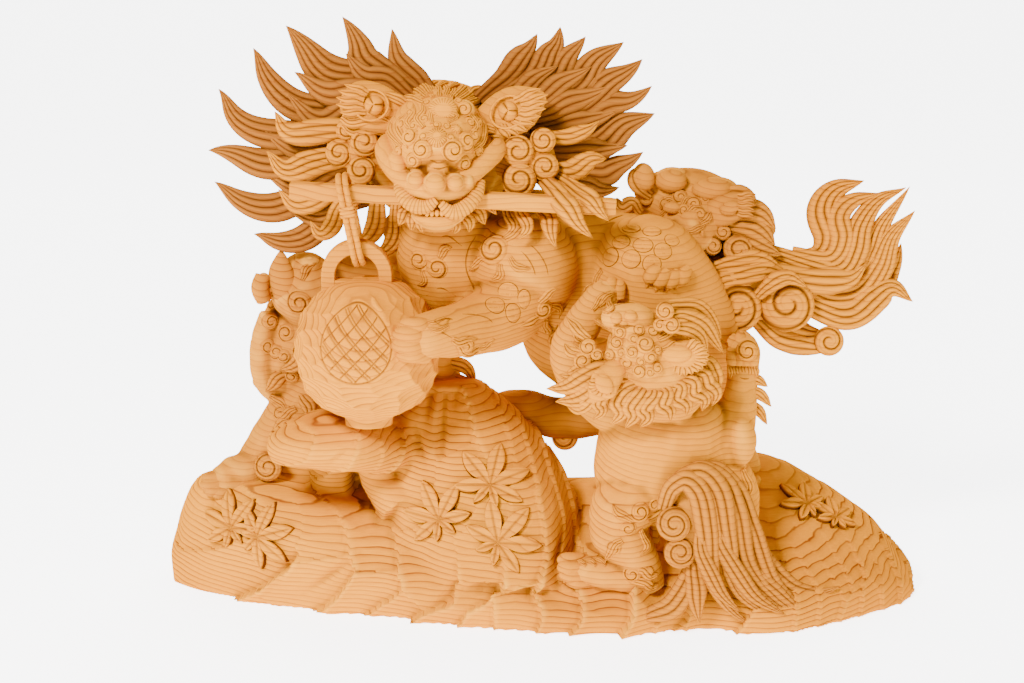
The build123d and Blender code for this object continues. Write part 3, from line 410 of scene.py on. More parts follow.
class Ground:
    """A carved surface that ornament is laid on, with its tree and its normals."""

    def __init__(self, part):
        self.verts = part[0]
        self.normals = normals_of(part[0], part[1])
        self.tree = BVHTree.FromPolygons(part[0].tolist(), part[1].tolist())

    def drape(self, across, down, reach):
        """A smooth sheet over the surface round a pixel: w = c . (1, p, q, p^2, pq, q^2), fitted to the vertices
        there. Returns a function of p and q, to the right and up on the sheet, and of the lift over it."""
        centre, facing = lay(self.tree, across, down)
        near = np.linalg.norm(self.verts - centre, axis=1) < reach
        near &= self.normals @ facing > 0.2
        u, v, w = axes_of(self.normals[near].sum(0) + facing)
        away = self.verts[near] - centre
        p, q = away @ u, away @ v
        share = np.linalg.lstsq(np.stack([p**0, p, q, p * p, p * q, q * q], -1), away @ w, rcond=None)[0]

        def sheet(p, q, lift):
            rise = share[0] + share[1] * p + share[2] * q + share[3] * p * p + share[4] * p * q + share[5] * q * q
            return centre + p[..., None] * u + q[..., None] * v + (rise + lift)[..., None] * w

        return sheet


def carve(name, parts, nodes, voxel, material=None, **ways):
    """Makes a piece of parts that are run together, and returns it as the ground of its ornament."""
    body = fuse(parts, voxel, **ways)
    make(name, body, nodes, crease=180, material=material)
    return Ground(body)


def relief(ground, across, down, radius, hand=1, start=0.0, sink=0.15, **ways):
    """A snail curl laid on a surface at a pixel."""
    place, normal = lay(ground.tree, across, down, sink * radius)
    return snail(place, radius, out=unit(normal - 0.5 * sight), hand=hand, start=start, **ways)


def reliefs(ground, table, **ways):
    """A laid curl for each row: across, down, radius, hand, start."""
    parts = []
    for across, down, radius, hand, start in table:
        parts += relief(ground, across, down, radius, hand, start, **ways)
    return parts


def boss(ground, across, down, radius, **ways):
    """A pleated button laid on a surface at a pixel."""
    place, normal = lay(ground.tree, across, down, 0.15 * radius)
    return rosette(place, radius, out=unit(normal - 0.4 * sight), **ways)


def lick(ground, pixels, width, lift=0.05, steps=26, **ways):
    """A flame laid on a surface: its stations are where the sight lines of its pixels meet the surface."""
    places, normals = zip(*(lay(ground.tree, across, down, -lift * width) for across, down in pixels))
    facing = unit(np.mean(normals, axis=0) - 0.4 * sight)
    return flame(np.array(places), width, out=facing, steps=steps, **ways)


def licks(ground, table, **ways):
    """A laid flame for each row, which is its pixels and then its half-width."""
    parts = []
    for k, (*pixels, width) in enumerate(table):
        parts += lick(ground, pixels, width, seed=3 + 5 * k, **ways)
    return parts


def toe(ground, rows):
    """A toe that lies on a surface: an oval along the places where the sight lines of its pixels meet it, with
    the half-widths that each pixel carries."""
    places = np.array([lay(ground.tree, across, down, -0.35 * girth)[0] for across, down, girth in rows])
    line = run(np.column_stack([places, [row[2] for row in rows]]), 16)
    return sweep(line[:, :3], line[:, 3], line[:, 3] * 0.9, oval(14), -sight, 0.5)


def seam(ground, pixels, width):
    """A cut line on a surface, where the sight lines of its pixels meet it: a thin sunk bead darkened with painted
    shade, for the shadow in the cut.
    """
    places = run(np.array([lay(ground.tree, across, down, 0.25 * width)[0] for across, down in pixels]), 40)
    girth = width * np.sin(np.pi * np.linspace(0.04, 0.96, 40)) ** 0.4
    verts, tris, _ = sweep(places, girth, girth, oval(6), -sight, 0.0)
    return verts, tris, np.full(len(verts), 0.75)


def seams(ground, *lines, width=0.4):
    """A seam for each line of pixels."""
    return [seam(ground, pixels, width) for pixels in lines]


def scale(ground, across, down, wide, high, lines=2, turn=0.0):
    """A scale of the hide: an oval plate, lift = 0.1 + 0.6 (1 - r^6) less level cuts, with painted shade for a dark
    seam at its rim and in its cuts.
    """
    sheet = ground.drape(across, down, 1.5 * max(wide, high))
    r = np.array([1.05, 1.0, 0.96, 0.9, 0.8, 0.65, 0.5, 0.35, 0.2, 0.05])[:, None]
    a = np.linspace(0, 2 * np.pi, 48, endpoint=False)[None]
    p, q = wide * r * np.cos(a), high * r * np.sin(a)
    level = np.abs(((q / high + 1) * (lines + 1) / 2) % 1 - 0.5)
    cut = np.clip(1 - (0.5 - level) / 0.1, 0, 1) * (r < 0.85) if lines else 0 * r * a
    lift = np.where(r > 1.01, -2.5, 0.1 + 0.6 * (1 - r**6)) - 0.3 * cut
    shade = np.where(r > 0.93, 1.0, 0.45 * cut)
    spin = np.cos(turn), np.sin(turn)
    return skin(sheet(p * spin[0] - q * spin[1], p * spin[1] + q * spin[0], lift), shade)


# Material

pale_tone, honey_tone, fibre_tone = (0.80, 0.51, 0.03), (0.745, 0.455, 0.02), (0.67, 0.385, 0.05)
# A darker brown, which the shaded copy of the wood mixes in as painted shade, and the tone of the growth lines
heart_and_shade_tone, line_tone = (0.49, 0.30, 0.13), (0.43, 0.21, 0.07)
# Tones of the painted shade in hollows and of the painted highlight on ridges
hollow_shade_tone, ridge_highlight_tone = (0.27, 0.13, 0.06), (0.86, 0.61, 0.20)


def value_of(tree, operation, *inputs, clamp=False):
    """A Math node whose inputs are sockets or numbers."""
    node = tree.nodes.new("ShaderNodeMath")
    node.operation = operation
    node.use_clamp = clamp
    for socket, given in zip(node.inputs, inputs):
        if isinstance(given, (int, float)):
            socket.default_value = given
        else:
            tree.links.new(given, socket)
    return node.outputs[0]


def noise_of(tree, place, scale, stretch=(1, 1, 1), detail=2.0, rough=0.5):
    """Noise of the place, which is first stretched along its axes."""
    mapping = tree.nodes.new("ShaderNodeMapping")
    mapping.inputs["Scale"].default_value = stretch
    tree.links.new(place, mapping.inputs["Vector"])
    noise = tree.nodes.new("ShaderNodeTexNoise")
    for trait, value in (("Scale", scale), ("Detail", detail), ("Roughness", rough)):
        noise.inputs[trait].default_value = value
    tree.links.new(mapping.outputs[0], noise.inputs["Vector"])
    return noise.outputs["Fac"]


def span_of(tree, given, low, high, to_low=0.0, to_high=1.0):
    """Maps a value from one span to another, clamped."""
    node = tree.nodes.new("ShaderNodeMapRange")
    for end, value in (("From Min", low), ("From Max", high), ("To Min", to_low), ("To Max", to_high)):
        node.inputs[end].default_value = value
    tree.links.new(given, node.inputs["Value"])
    return node.outputs[0]


def blend_of(tree, share, first, second):
    """Mixes two colours, given as sockets or as sRGB hundredths."""
    node = tree.nodes.new("ShaderNodeMix")
    node.data_type = "RGBA"
    tree.links.new(share, node.inputs[0])
    for socket, given in ((node.inputs[6], first), (node.inputs[7], second)):
        if isinstance(given, tuple):
            socket.default_value = (*(tone**2.2 for tone in given), 1.0)
        else:
            tree.links.new(given, socket)
    return node.outputs[2]


def grown_rings():
    """The group that colours carved wood: growth layers that lie nearly level, r = z + lean . (x, y) + noise,
    each paling slowly and closing in a dark line, with fibre along X, brown painted shade in the hollows and
    a paler painted highlight on the ridges."""
    tree = bpy.data.node_groups.new("grown_rings", "ShaderNodeTree")
    for name, kind, start in (
        ("Lean", "NodeSocketVector", (0.06, -0.22, 1.0)),
        ("Spacing", "NodeSocketFloat", 0.0033),
        ("Contrast", "NodeSocketFloat", 1.0),
        ("Hollow", "NodeSocketFloat", 0.0),
        ("Heart_and_shade", "NodeSocketFloat", 0.0),
        ("Wave", "NodeSocketFloat", 0.055),
    ):
        socket = tree.interface.new_socket(name, in_out="INPUT", socket_type=kind)
        socket.default_value = start
    for name, kind in (
        ("Color", "NodeSocketColor"), ("Roughness", "NodeSocketFloat"), ("Height", "NodeSocketFloat"),
    ):
        tree.interface.new_socket(name, in_out="OUTPUT", socket_type=kind)
    given = tree.nodes.new("NodeGroupInput")
    result = tree.nodes.new("NodeGroupOutput")
    place = tree.nodes.new("ShaderNodeTexCoord").outputs["Object"]

    lean = tree.nodes.new("ShaderNodeVectorMath")
    lean.operation = "DOT_PRODUCT"
    tree.links.new(place, lean.inputs[0])
    tree.links.new(given.outputs["Lean"], lean.inputs[1])
    drift = value_of(tree, "SUBTRACT", noise_of(tree, place, 9.0, (0.7, 1, 1)), 0.5)
    slow = value_of(tree, "MULTIPLY", drift, given.outputs["Wave"])
    quiver = value_of(tree, "SUBTRACT", noise_of(tree, place, 60.0, (0.5, 1, 1)), 0.5)
    fast = value_of(tree, "MULTIPLY", quiver, 0.0035)
    level = value_of(tree, "ADD", value_of(tree, "ADD", lean.outputs["Value"], slow), fast)
    phase = value_of(tree, "DIVIDE", level, given.outputs["Spacing"])
    part = value_of(tree, "FRACT", phase)
    late = tree.nodes.new("ShaderNodeValToRGB")
    for end, position in zip(late.color_ramp.elements, (0.0, 1.0)):
        end.position = position
        end.color = (0, 0, 0, 1)
    for position, tone in ((0.5, 0.06), (0.8, 0.34), (0.9, 1.0), (0.955, 0.85)):
        step = late.color_ramp.elements.new(position)
        step.color = (tone, tone, tone, 1)
    tree.links.new(part, late.inputs[0])
    strength = span_of(tree, noise_of(tree, place, 22.0, (0.5, 1, 1), 3.0), 0.34, 0.66, 0.4, 1.0)
    uneven = value_of(tree, "MULTIPLY", late.outputs[0], strength)
    line = value_of(tree, "MULTIPLY", uneven, given.outputs["Contrast"])

    fibre = noise_of(tree, place, 1.0, (70, 620, 1500), 3.0, 0.6)
    patch = span_of(tree, noise_of(tree, place, 11.0, (0.6, 1, 1), 2.0), 0.35, 0.68)
    tone = blend_of(tree, patch, pale_tone, honey_tone)
    tone = blend_of(tree, span_of(tree, fibre, 0.35, 0.75, 0.0, 0.4), tone, fibre_tone)
    # A darker brown over the whole material: a tint in most woods, and painted shade in the shaded copy
    tone = blend_of(tree, given.outputs["Heart_and_shade"], tone, heart_and_shade_tone)
    tone = blend_of(tree, value_of(tree, "MULTIPLY", line, 0.85, clamp=True), tone, line_tone)
    # Painted shade browns creases and recesses by the hollow attribute, and its negative values give ridges a paler
    # painted highlight
    tone = blend_of(tree, span_of(tree, given.outputs["Hollow"], 0.05, 1.0, 0.0, 0.9), tone, hollow_shade_tone)
    tone = blend_of(tree, span_of(tree, given.outputs["Hollow"], -0.15, -0.9, 0.0, 0.4), tone, ridge_highlight_tone)
    tree.links.new(tone, result.inputs["Color"])
    rough = span_of(tree, fibre, 0.3, 0.7, 0.50, 0.64)
    tree.links.new(rough, result.inputs["Roughness"])
    height = value_of(tree, "ADD", value_of(tree, "MULTIPLY", fibre, 0.5), value_of(tree, "MULTIPLY", line, -0.5))
    tree.links.new(height, result.inputs["Height"])
    return tree


def wood(name, spacing=0.0033, contrast=1.0, heart_and_shade=0.0, wave=0.04, lean=(0.06, -0.22, 1.0)):
    """Oiled carving wood: the ring group over a satin surface with a little bump."""
    material = bpy.data.materials.new(name)
    material.use_nodes = True
    tree = material.node_tree
    shader = tree.nodes["Principled BSDF"]
    rings = tree.nodes.new("ShaderNodeGroup")
    rings.node_tree = ring_group
    looks = {"Spacing": spacing, "Contrast": contrast, "Heart_and_shade": heart_and_shade, "Wave": wave, "Lean": lean}
    for trait, value in looks.items():
        rings.inputs[trait].default_value = value
    hollow = tree.nodes.new("ShaderNodeAttribute")
    hollow.attribute_name = "hollow"
    tree.links.new(hollow.outputs["Fac"], rings.inputs["Hollow"])
    tree.links.new(rings.outputs["Color"], shader.inputs["Base Color"])
    tree.links.new(rings.outputs["Roughness"], shader.inputs["Roughness"])
    shader.inputs["Specular IOR Level"].default_value = 0.0
    bump = tree.nodes.new("ShaderNodeBump")
    bump.inputs["Strength"].default_value = 0.25
    bump.inputs["Distance"].default_value = 0.0006
    tree.links.new(rings.outputs["Height"], bump.inputs["Height"])
    tree.links.new(bump.outputs[0], shader.inputs["Normal"])
    return material


ring_group = grown_rings()
carved_wood = wood("carved_wood", heart_and_shade=0.18)
face_wood = wood("face_wood", contrast=0.55, heart_and_shade=0.1)
mane_wood = wood("mane_wood", contrast=0.8, heart_and_shade=0.9)
rock_wood = wood("rock_wood", spacing=0.0031, contrast=1.35, heart_and_shade=0.1, wave=0.014)
# A darker copy of the carving wood: painted shade for pieces that stand in shadow
shaded_wood = wood("shaded_wood", heart_and_shade=0.5)
jar_wood = wood("jar_wood", spacing=0.0050, contrast=1.1, wave=0.05, lean=(0.1, -1.2, 1.0))


# Rock


# Each base row is an end-on section: its place along X as a share of the half-width, then its corners
# from the front foot over to the back, as shares of the half-depth and of the rise.
base_rows = np.array([
    (-1.00, 0.22, -0.2, 0.20, 0.14, 0.26, 0.26, 0.38, 0.32, 0.52, 0.32, 0.64, 0.26, 0.70, 0.12, 0.70, -0.2),
    (-0.93, 0.02, -0.2, 0.02, 0.34, 0.08, 0.60, 0.20, 0.80, 0.42, 0.80, 0.62, 0.60, 0.76, 0.34, 0.78, -0.2),
    (-0.80, -0.20, -0.2, -0.25, 0.36, -0.16, 0.70, 0.00, 0.88, 0.40, 0.88, 0.72, 0.70, 0.90, 0.40, 0.92, -0.2),
    (-0.60, -0.44, -0.2, -0.50, 0.30, -0.46, 0.58, -0.24, 0.80, 0.30, 0.84, 0.72, 0.72, 0.96, 0.38, 0.98, -0.2),
    (-0.38, -0.60, -0.2, -0.66, 0.22, -0.58, 0.46, -0.34, 0.66, 0.30, 0.80, 0.76, 0.70, 0.97, 0.34, 1.00, -0.2),
    (-0.16, -0.80, -0.2, -0.84, 0.18, -0.70, 0.40, -0.40, 0.62, 0.30, 0.78, 0.78, 0.66, 0.98, 0.34, 1.00, -0.2),
    (0.04, -0.94, -0.2, -0.96, 0.14, -0.78, 0.30, -0.36, 0.50, 0.34, 0.76, 0.76, 0.66, 0.96, 0.34, 1.00, -0.2),
    (0.24, -0.98, -0.2, -0.96, 0.18, -0.74, 0.33, -0.34, 0.50, 0.34, 0.80, 0.74, 0.70, 0.94, 0.36, 0.98, -0.2),
    (0.42, -0.84, -0.2, -0.86, 0.18, -0.66, 0.38, -0.26, 0.62, 0.38, 0.92, 0.74, 0.80, 0.92, 0.40, 0.96, -0.2),
    (0.60, -0.94, -0.2, -0.92, 0.20, -0.62, 0.46, -0.16, 0.76, 0.40, 1.00, 0.72, 0.82, 0.88, 0.42, 0.92, -0.2),
    (0.76, -0.70, -0.2, -0.70, 0.18, -0.44, 0.42, -0.06, 0.64, 0.36, 0.80, 0.64, 0.64, 0.78, 0.34, 0.82, -0.2),
    (0.90, -0.44, -0.2, -0.43, 0.14, -0.24, 0.32, 0.04, 0.46, 0.30, 0.52, 0.50, 0.42, 0.62, 0.24, 0.66, -0.2),
    (1.00, -0.16, -0.2, -0.14, 0.08, -0.06, 0.14, 0.06, 0.18, 0.18, 0.18, 0.30, 0.14, 0.36, 0.08, 0.38, -0.2),
])
# Each peak row is a level section: its height, then its corners from the left end round by the front
peak_rows = np.array([
    (
        0.20, -0.43, 0.20, -0.39, -0.42, -0.28, -0.70, -0.12, -0.86, 0.02, -0.84, 0.09, -0.44, 0.10, 0.30, -0.12,
        0.66,
    ),
    (
        0.47, -0.42, 0.20, -0.38, -0.36, -0.28, -0.54, -0.14, -0.66, 0.00, -0.64, 0.07, -0.34, 0.08, 0.28, -0.14,
        0.60,
    ),
    (
        0.68, -0.41, 0.20, -0.37, -0.26, -0.29, -0.42, -0.17, -0.48, -0.06, -0.44, 0.01, -0.18, 0.01, 0.26, -0.17,
        0.54,
    ),
    (
        0.88, -0.39, 0.18, -0.36, -0.14, -0.30, -0.24, -0.22, -0.26, -0.13, -0.22, -0.07, -0.04, -0.08, 0.22, -0.20,
        0.44,
    ),
    (
        1.00, -0.36, 0.16, -0.34, 0.02, -0.30, -0.06, -0.24, -0.08, -0.19, -0.04, -0.15, 0.06, -0.17, 0.20, -0.24,
        0.32,
    ),
])
base_half, depth_half, base_rise, peak_rise = 212.0, 75.0, 72.0, 122.0


def loft(rows, scales, counts, closed):
    """A loft of sections: Catmull-Rom through the rows, then round each row's corners, closed round the section if
    asked. Gives each place as the row's own value and its two coordinates in the section, in millimetres."""
    line = run(rows, counts[0])
    corners = line[:, 1:].reshape(len(line), -1, 2)
    if closed:
        corners = np.concatenate([corners, corners[:, :1]], axis=1)
    rings = np.stack([run(ring, counts[1]) for ring in corners])[:, : -1 if closed else None]
    return np.concatenate([np.broadcast_to(line[:, :1, None], (*rings.shape[:2], 1)), rings], -1) * scales


def scoops(s, t, wide, long):
    """How far places lie from the middles of gouge cuts that are strewn one to a cell: the least
    ((s - a) / wide)^2 + ((t - b) / long)^2 over the near cells, whose middles (a, b) are shifted by fract(k sin),
    and the offset (s - a) / wide from that nearest middle."""
    s, t = s / wide, t / long
    least, aside = np.full(s.shape, 9.0), np.zeros(s.shape)
    for step in np.ndindex(3, 3):
        p, q = np.floor(s) + step[0] - 1, np.floor(t) + step[1] - 1
        a, b = 4371.5 * np.sin(127.1 * p + 311.7 * q), 4371.5 * np.sin(269.5 * p + 183.3 * q)
        a, b = p + 0.15 + 0.7 * (a - np.floor(a)), q + 0.15 + 0.7 * (b - np.floor(b))
        reach = (s - a) ** 2 + (t - b) ** 2
        aside = np.where(reach < least, s - a, aside)
        least = np.minimum(least, reach)
    return least, aside


# Single deep cuts on the rock: across and down of both ends, taken at one depth, then width and depth of the cut
cut_plane = -40.0
cut_marks = [
    (434, 374, 423, 440, 2.6, 3.2), (446, 378, 440, 476, 2.6, 2.8), (458, 384, 452, 430, 2.4, 2),
    (360, 552, 300, 600, 2.2, 2.4), (356, 436, 332, 458, 2, 1.8), (412, 428, 424, 470, 2.2, 2),
    (520, 420, 566, 470, 2.6, 2.2), (575, 520, 556, 560, 2.6, 2.4), (214, 492, 196, 540, 2.4, 2),
    (300, 548, 262, 606, 2.4, 2), (470, 560, 430, 606, 2.6, 2.4), (700, 470, 760, 452, 2.2, 2),
]


# Width and length of a cell of long and of short gouge cuts, in millimetres
long_cut, short_cut = (20, 44), (30, 13)


def gouged(places, normals):
    """The marks of a wide gouge: long slanting scoops with sharp ridges between them, deep where the rock is
    steep and low, over short level ones, each tipped to one side, and single cuts exp(-(distance / width)^2)."""
    x, y, z = places.T
    steep = np.clip(2.2 * np.hypot(normals[:, 0], normals[:, 1]) - 0.25, 0, 1)
    across = x + 0.9 * y
    long_cuts, tip = scoops(0.87 * across - 0.5 * z, 0.5 * across + 0.87 * z, *long_cut)
    short_cuts, _ = scoops(across + 0.3 * z, z - 0.3 * across, *short_cut)
    low = np.clip((40 - z) / 16, 0, 1)
    pressed = steep * ((2.0 + 6.0 * low) * (long_cuts - 0.35) - (1.5 + 4.5 * low) * tip)
    pressed += (1.6 - 1.2 * low) * steep * (short_cuts - 0.35)
    pressed *= 1 - 0.65 * np.clip((x - 40) / 80, 0, 1) - 0.7 * np.clip((-x - 172) / 20, 0, 1)
    for *head, foot_across, foot_down, width, depth in cut_marks:
        start, end = spots([(*head, cut_plane), (foot_across, foot_down, cut_plane)])[:, ::2]
        way = end - start
        t = np.clip(((x - start[0]) * way[0] + (z - start[1]) * way[1]) / (way @ way), 0, 1)
        away = np.hypot(x - start[0] - t * way[0], z - start[1] - t * way[1])
        mark = depth * np.exp(-((away / width) ** 2)) * np.sin(np.pi * np.clip(t, 0.08, 0.92))
        pressed -= mark * np.clip(-2 * normals[:, 1], 0, 1)
    return pressed


ledge_rows = [
    (280, 444, -24, 6), (290, 442, -28, 12), (315, 440, -30, 15.4), (343, 440, -28, 16.2), (364, 440, -18, 15.8),
    (384, 439, -6, 15), (402, 434, 6, 14),
]
prop_rows = [(332, 455, 6, 14), (334, 480, 8, 12.6), (332, 505, 6, 14.5), (326, 535, 2, 18)]
rock_parts = [
    skin(loft(base_rows, (base_half, depth_half, base_rise), (90, 60), closed=False)),
    skin(loft(peak_rows, (peak_rise, base_half, depth_half), (40, 60), closed=True)[..., [1, 2, 0]]),
    limb(ledge_rows, flat=1.75),
    limb(prop_rows),
    limb([(262, 492, 34, 12), (300, 474, 34, 19), (345, 462, 32, 24), (392, 446, 28, 27)], 0.8),
    limb([(384, 440, -8, 13), (378, 462, -12, 11), (386, 486, -16, 12), (402, 508, -22, 14)], 1.0),
    limb([(548, 602, -56, 9), (590, 598, -58, 10), (636, 598, -56, 10), (676, 600, -52, 9)]),
]
rock = fuse(rock_parts, 1.7, rounds=4, gain=3.5, press=gouged)
rock[0][:, :2] *= 1 - np.maximum(-rock[0][:, 2:], 0) * (0.006, 0.06)
rock[0][:, 2] = np.maximum(rock[0][:, 2], 0.0)
make("rock", rock, ["rock_base", "rock_peak", "jar_ledge"], crease=180, material=rock_wood)

rock_ground = Ground(rock)

# Maple leaves in relief
leaf_lobes = [(-150, 0.5), (-103, 0.78), (-52, 0.95), (0, 1), (52, 0.95), (103, 0.78), (150, 0.5)]


def leaf(across, down, turn, reach):
    """A maple leaf laid on the rock: r(a) = span (0.3 + 0.7 (1 - off)^0.65), where off is the angle from the
    nearest lobe, with a raised rim, a cut along each lobe and a skirt into the rock."""
    sheet = rock_ground.drape(across, down, 1.1 * reach)
    a = np.linspace(-np.pi, np.pi, 280, endpoint=False)
    lobes = np.radians([lobe for lobe, _ in leaf_lobes])
    near = np.abs(a[:, None] - lobes)
    k = near.argmin(1)
    off = np.clip(near.min(1) / np.radians(25), 0, 1)
    span = np.array([size for _, size in leaf_lobes])[k] * reach * (0.3 + 0.7 * (1 - off) ** 0.65)
    rings = np.array([1.0, 1.0, 0.97, 0.9, 0.78, 0.6, 0.4, 0.2, 0.02])[:, None]
    lift = np.array([-4.0, 1.6, 3.1, 3.7, 3.7, 3.4, 3.0, 2.7, 2.5])[:, None]
    vein = np.clip(1 - off * span / 1.3 * rings * 0.5, 0, 1) * (rings < 0.95)
    # Painted shade on the skirt and the rim's foot, where the lift is under 2, and along each lobe's cut
    shade = np.where(lift < 2, 1.0, 0.6 * vein)
    p, q = rings * span * np.cos(a + np.radians(turn)), rings * span * np.sin(a + np.radians(turn))
    return skin(sheet(p, q, lift - 0.6 * vein + 0 * p), shade)


for node, *leaves in (
    ("maple_leaf_high", (490, 486, 75, 26)), ("maple_leaf_middle", (440, 520, 120, 24)),
    ("maple_leaf_low", (498, 543, 50, 26)), ("maple_leaves_left", (233, 528, 110, 23), (258, 537, 20, 23)),
    ("maple_leaf_right", (806, 506, 110, 19), (834, 520, 60, 17)),
):
    make("carved_" + node, [leaf(*row) for row in leaves], [node])



# Jar, handle, stick and link

jar_foot = np.array((-93.23, -40.8, 111.10))
jar_profile = np.array([
    (0.33, 0.00), (0.34, 0.045), (0.40, 0.07), (0.56, 0.11), (0.78, 0.19), (0.92, 0.31), (1.00, 0.47), (0.97, 0.64),
    (0.87, 0.78), (0.70, 0.89), (0.46, 0.97), (0.2, 1.00), (0.02, 1),
])
jar_radius, jar_height, field_radius = 39.0, 80.0, 20.0
lattice_lines = (-14, -7, 0, 7, 14)


def groove(distance, width):
    """A V cut: 1 at its middle, 0 beyond its half-width."""
    return np.clip(1 - np.abs(distance) / width, 0, 1)


def jar_body():
    """A turned jar: r(h) round the upright axis, dressed with level gouge flats, and with a plain lattice
    cut in a round field on its front: V cuts on a circle and on two sets of slanting lines."""
    line = run(jar_profile, 260)
    a = np.linspace(-np.pi, np.pi, 370, endpoint=False)
    a = a - 0.42 * np.sin(a)
    radius = jar_radius * line[:, :1] * np.ones_like(a)
    height = jar_height * line[:, 1:] * np.ones_like(a)
    cuts, _ = scoops(jar_radius * a + 0.5 * height, height - 4.0 * a, 15.0, 8.5)
    field_x = jar_radius * (a + 0.13)
    field_z = height - (spots((355, 346, -78))[0][2] - jar_foot[2])
    away = np.hypot(field_x, field_z)
    inside = np.clip((field_radius - away) / 0.6, 0, 1)
    cut = groove(away - field_radius - 0.6, 0.75)
    slant, other = (field_x + field_z) / np.sqrt(2), (field_x - field_z) / np.sqrt(2)
    for shift in lattice_lines:
        for distance in (slant - shift - 0.8, slant - shift + 0.8, other - shift):
            cut = np.maximum(cut, inside * groove(distance, 0.6))
    outside = np.clip((away - field_radius - 1.5) / 3, 0, 1)
    radius = radius + 5.0 * (cuts - 0.25) * outside * np.clip((radius - 14) / 12, 0, 1) - 0.8 * cut
    # Painted shade in the circle and lattice cuts, and a painted highlight, as negative shade, on the ridges between
    # the gouge flats outside the field
    shade = 0.95 * cut - 0.8 * np.clip(cuts - 0.35, 0, 1) * outside
    places = np.stack([radius * np.sin(a), -radius * np.cos(a), height], -1) + jar_foot
    return skin(places, shade)


make("jar_body", jar_body(), ["jar"], crease=180, material=jar_wood)

handle_centre = np.array((-98.43, -40.8, 193.60))
handle_outer, handle_inner, handle_half = 19.0, 11.5, 4.5
handle_foot, handle_spring, web_half = -22.0, -2.5, 12.0


def handle():
    """A flat arched handle cut from a board: an outer arch and sides, a round-headed eye, and worn edges.
    Each ring is the board's outline at one depth, drawn in by the edge's wear."""
    a = np.linspace(0, np.pi, 40)
    arch = np.stack([np.cos(a), np.sin(a)], -1)
    lines = []
    for reach in (handle_outer, handle_inner):
        side = np.array([(reach, handle_foot), (reach, handle_spring)])
        lines.append(np.vstack([side, arch * reach, side[::-1] * (-1, 1)]))
    middle, half = (lines[0] + lines[1]) / 2, (lines[0] - lines[1]) / 2
    section = np.array([
        (-1, -0.78), (-0.86, -1), (0, -1), (0.86, -1), (1, -0.78), (1, 0), (1, 0.78), (0.86, 1), (0, 1), (-0.86, 1),
        (-1, 0.78), (-1, 0),
    ])
    flat = middle[:, None] + half[:, None] * section[None, :, :1]
    grid = np.stack([flat[..., 0], 0 * flat[..., 0], flat[..., 1]], -1)
    grid[..., 1] = handle_half * section[None, :, 1]
    corners = np.array([
        (-web_half, handle_foot), (web_half, handle_foot), (web_half, handle_spring), (-web_half, handle_spring),
    ])
    web = []
    for depth, share in ((-4.4, 0.97), (-4, 1), (4, 1), (4.4, 0.97)):
        web.append(np.stack([corners[:, 0] * share, np.full(4, depth), corners[:, 1] - 0.3 * (1 - share)], -1))
    return [skin(grid + handle_centre), skin(np.stack(web) + handle_centre)]


make("handle_board", handle(), ["jar_handle"], crease=35)

stick_ends = spots([(290, 190, -40), (616, 207, -45)])
stick_half, link_gap, cord_half = 4.3, 1.6, 1.7


def stick():
    """A square stick with worn corners, whose faces swell and dip a little along it."""
    t = np.linspace(0, 1, 60)
    path = stick_ends[0] + t[:, None] * (stick_ends[1] - stick_ends[0])
    corner = 0.84
    section = np.array([
        (1, corner), (corner, 1), (0, 1.01), (-corner, 1), (-1, corner), (-1.01, 0), (-1, -corner), (-corner, -1),
        (0, -1.01), (corner, -1), (1, -corner), (1.01, 0),
    ])
    worn = np.minimum(1, 0.93 + 4 * np.minimum(t, 1 - t))
    half = stick_half * (1 + 0.012 * np.sin(19 * t) + 0.008 * np.sin(47 * t)) * worn
    return sweep(path, half, half, section, toward, 0.0)


make("square_stick", stick(), ["stick"], crease=35)


def hoop(grid):
    """Closes rings of points both ways into a hoop, and turns the faces out, where sum p . (q x r) is positive."""
    k = np.arange(grid.shape[0] * grid.shape[1]).reshape(grid.shape[:2])
    p, q = np.roll(k, -1, 1), np.roll(k, -1, 0)
    r = np.roll(q, -1, 1)
    tris = np.concatenate([np.stack([c.ravel() for c in corner], -1) for corner in ((k, p, r), (k, r, q))])
    verts = grid.reshape(-1, 3)
    if np.einsum("ij,ij->", verts[tris[:, 0]], np.cross(verts[tris[:, 1]], verts[tris[:, 2]])) < 0:
        tris = tris[:, ::-1]
    return verts, tris, np.zeros(len(verts))


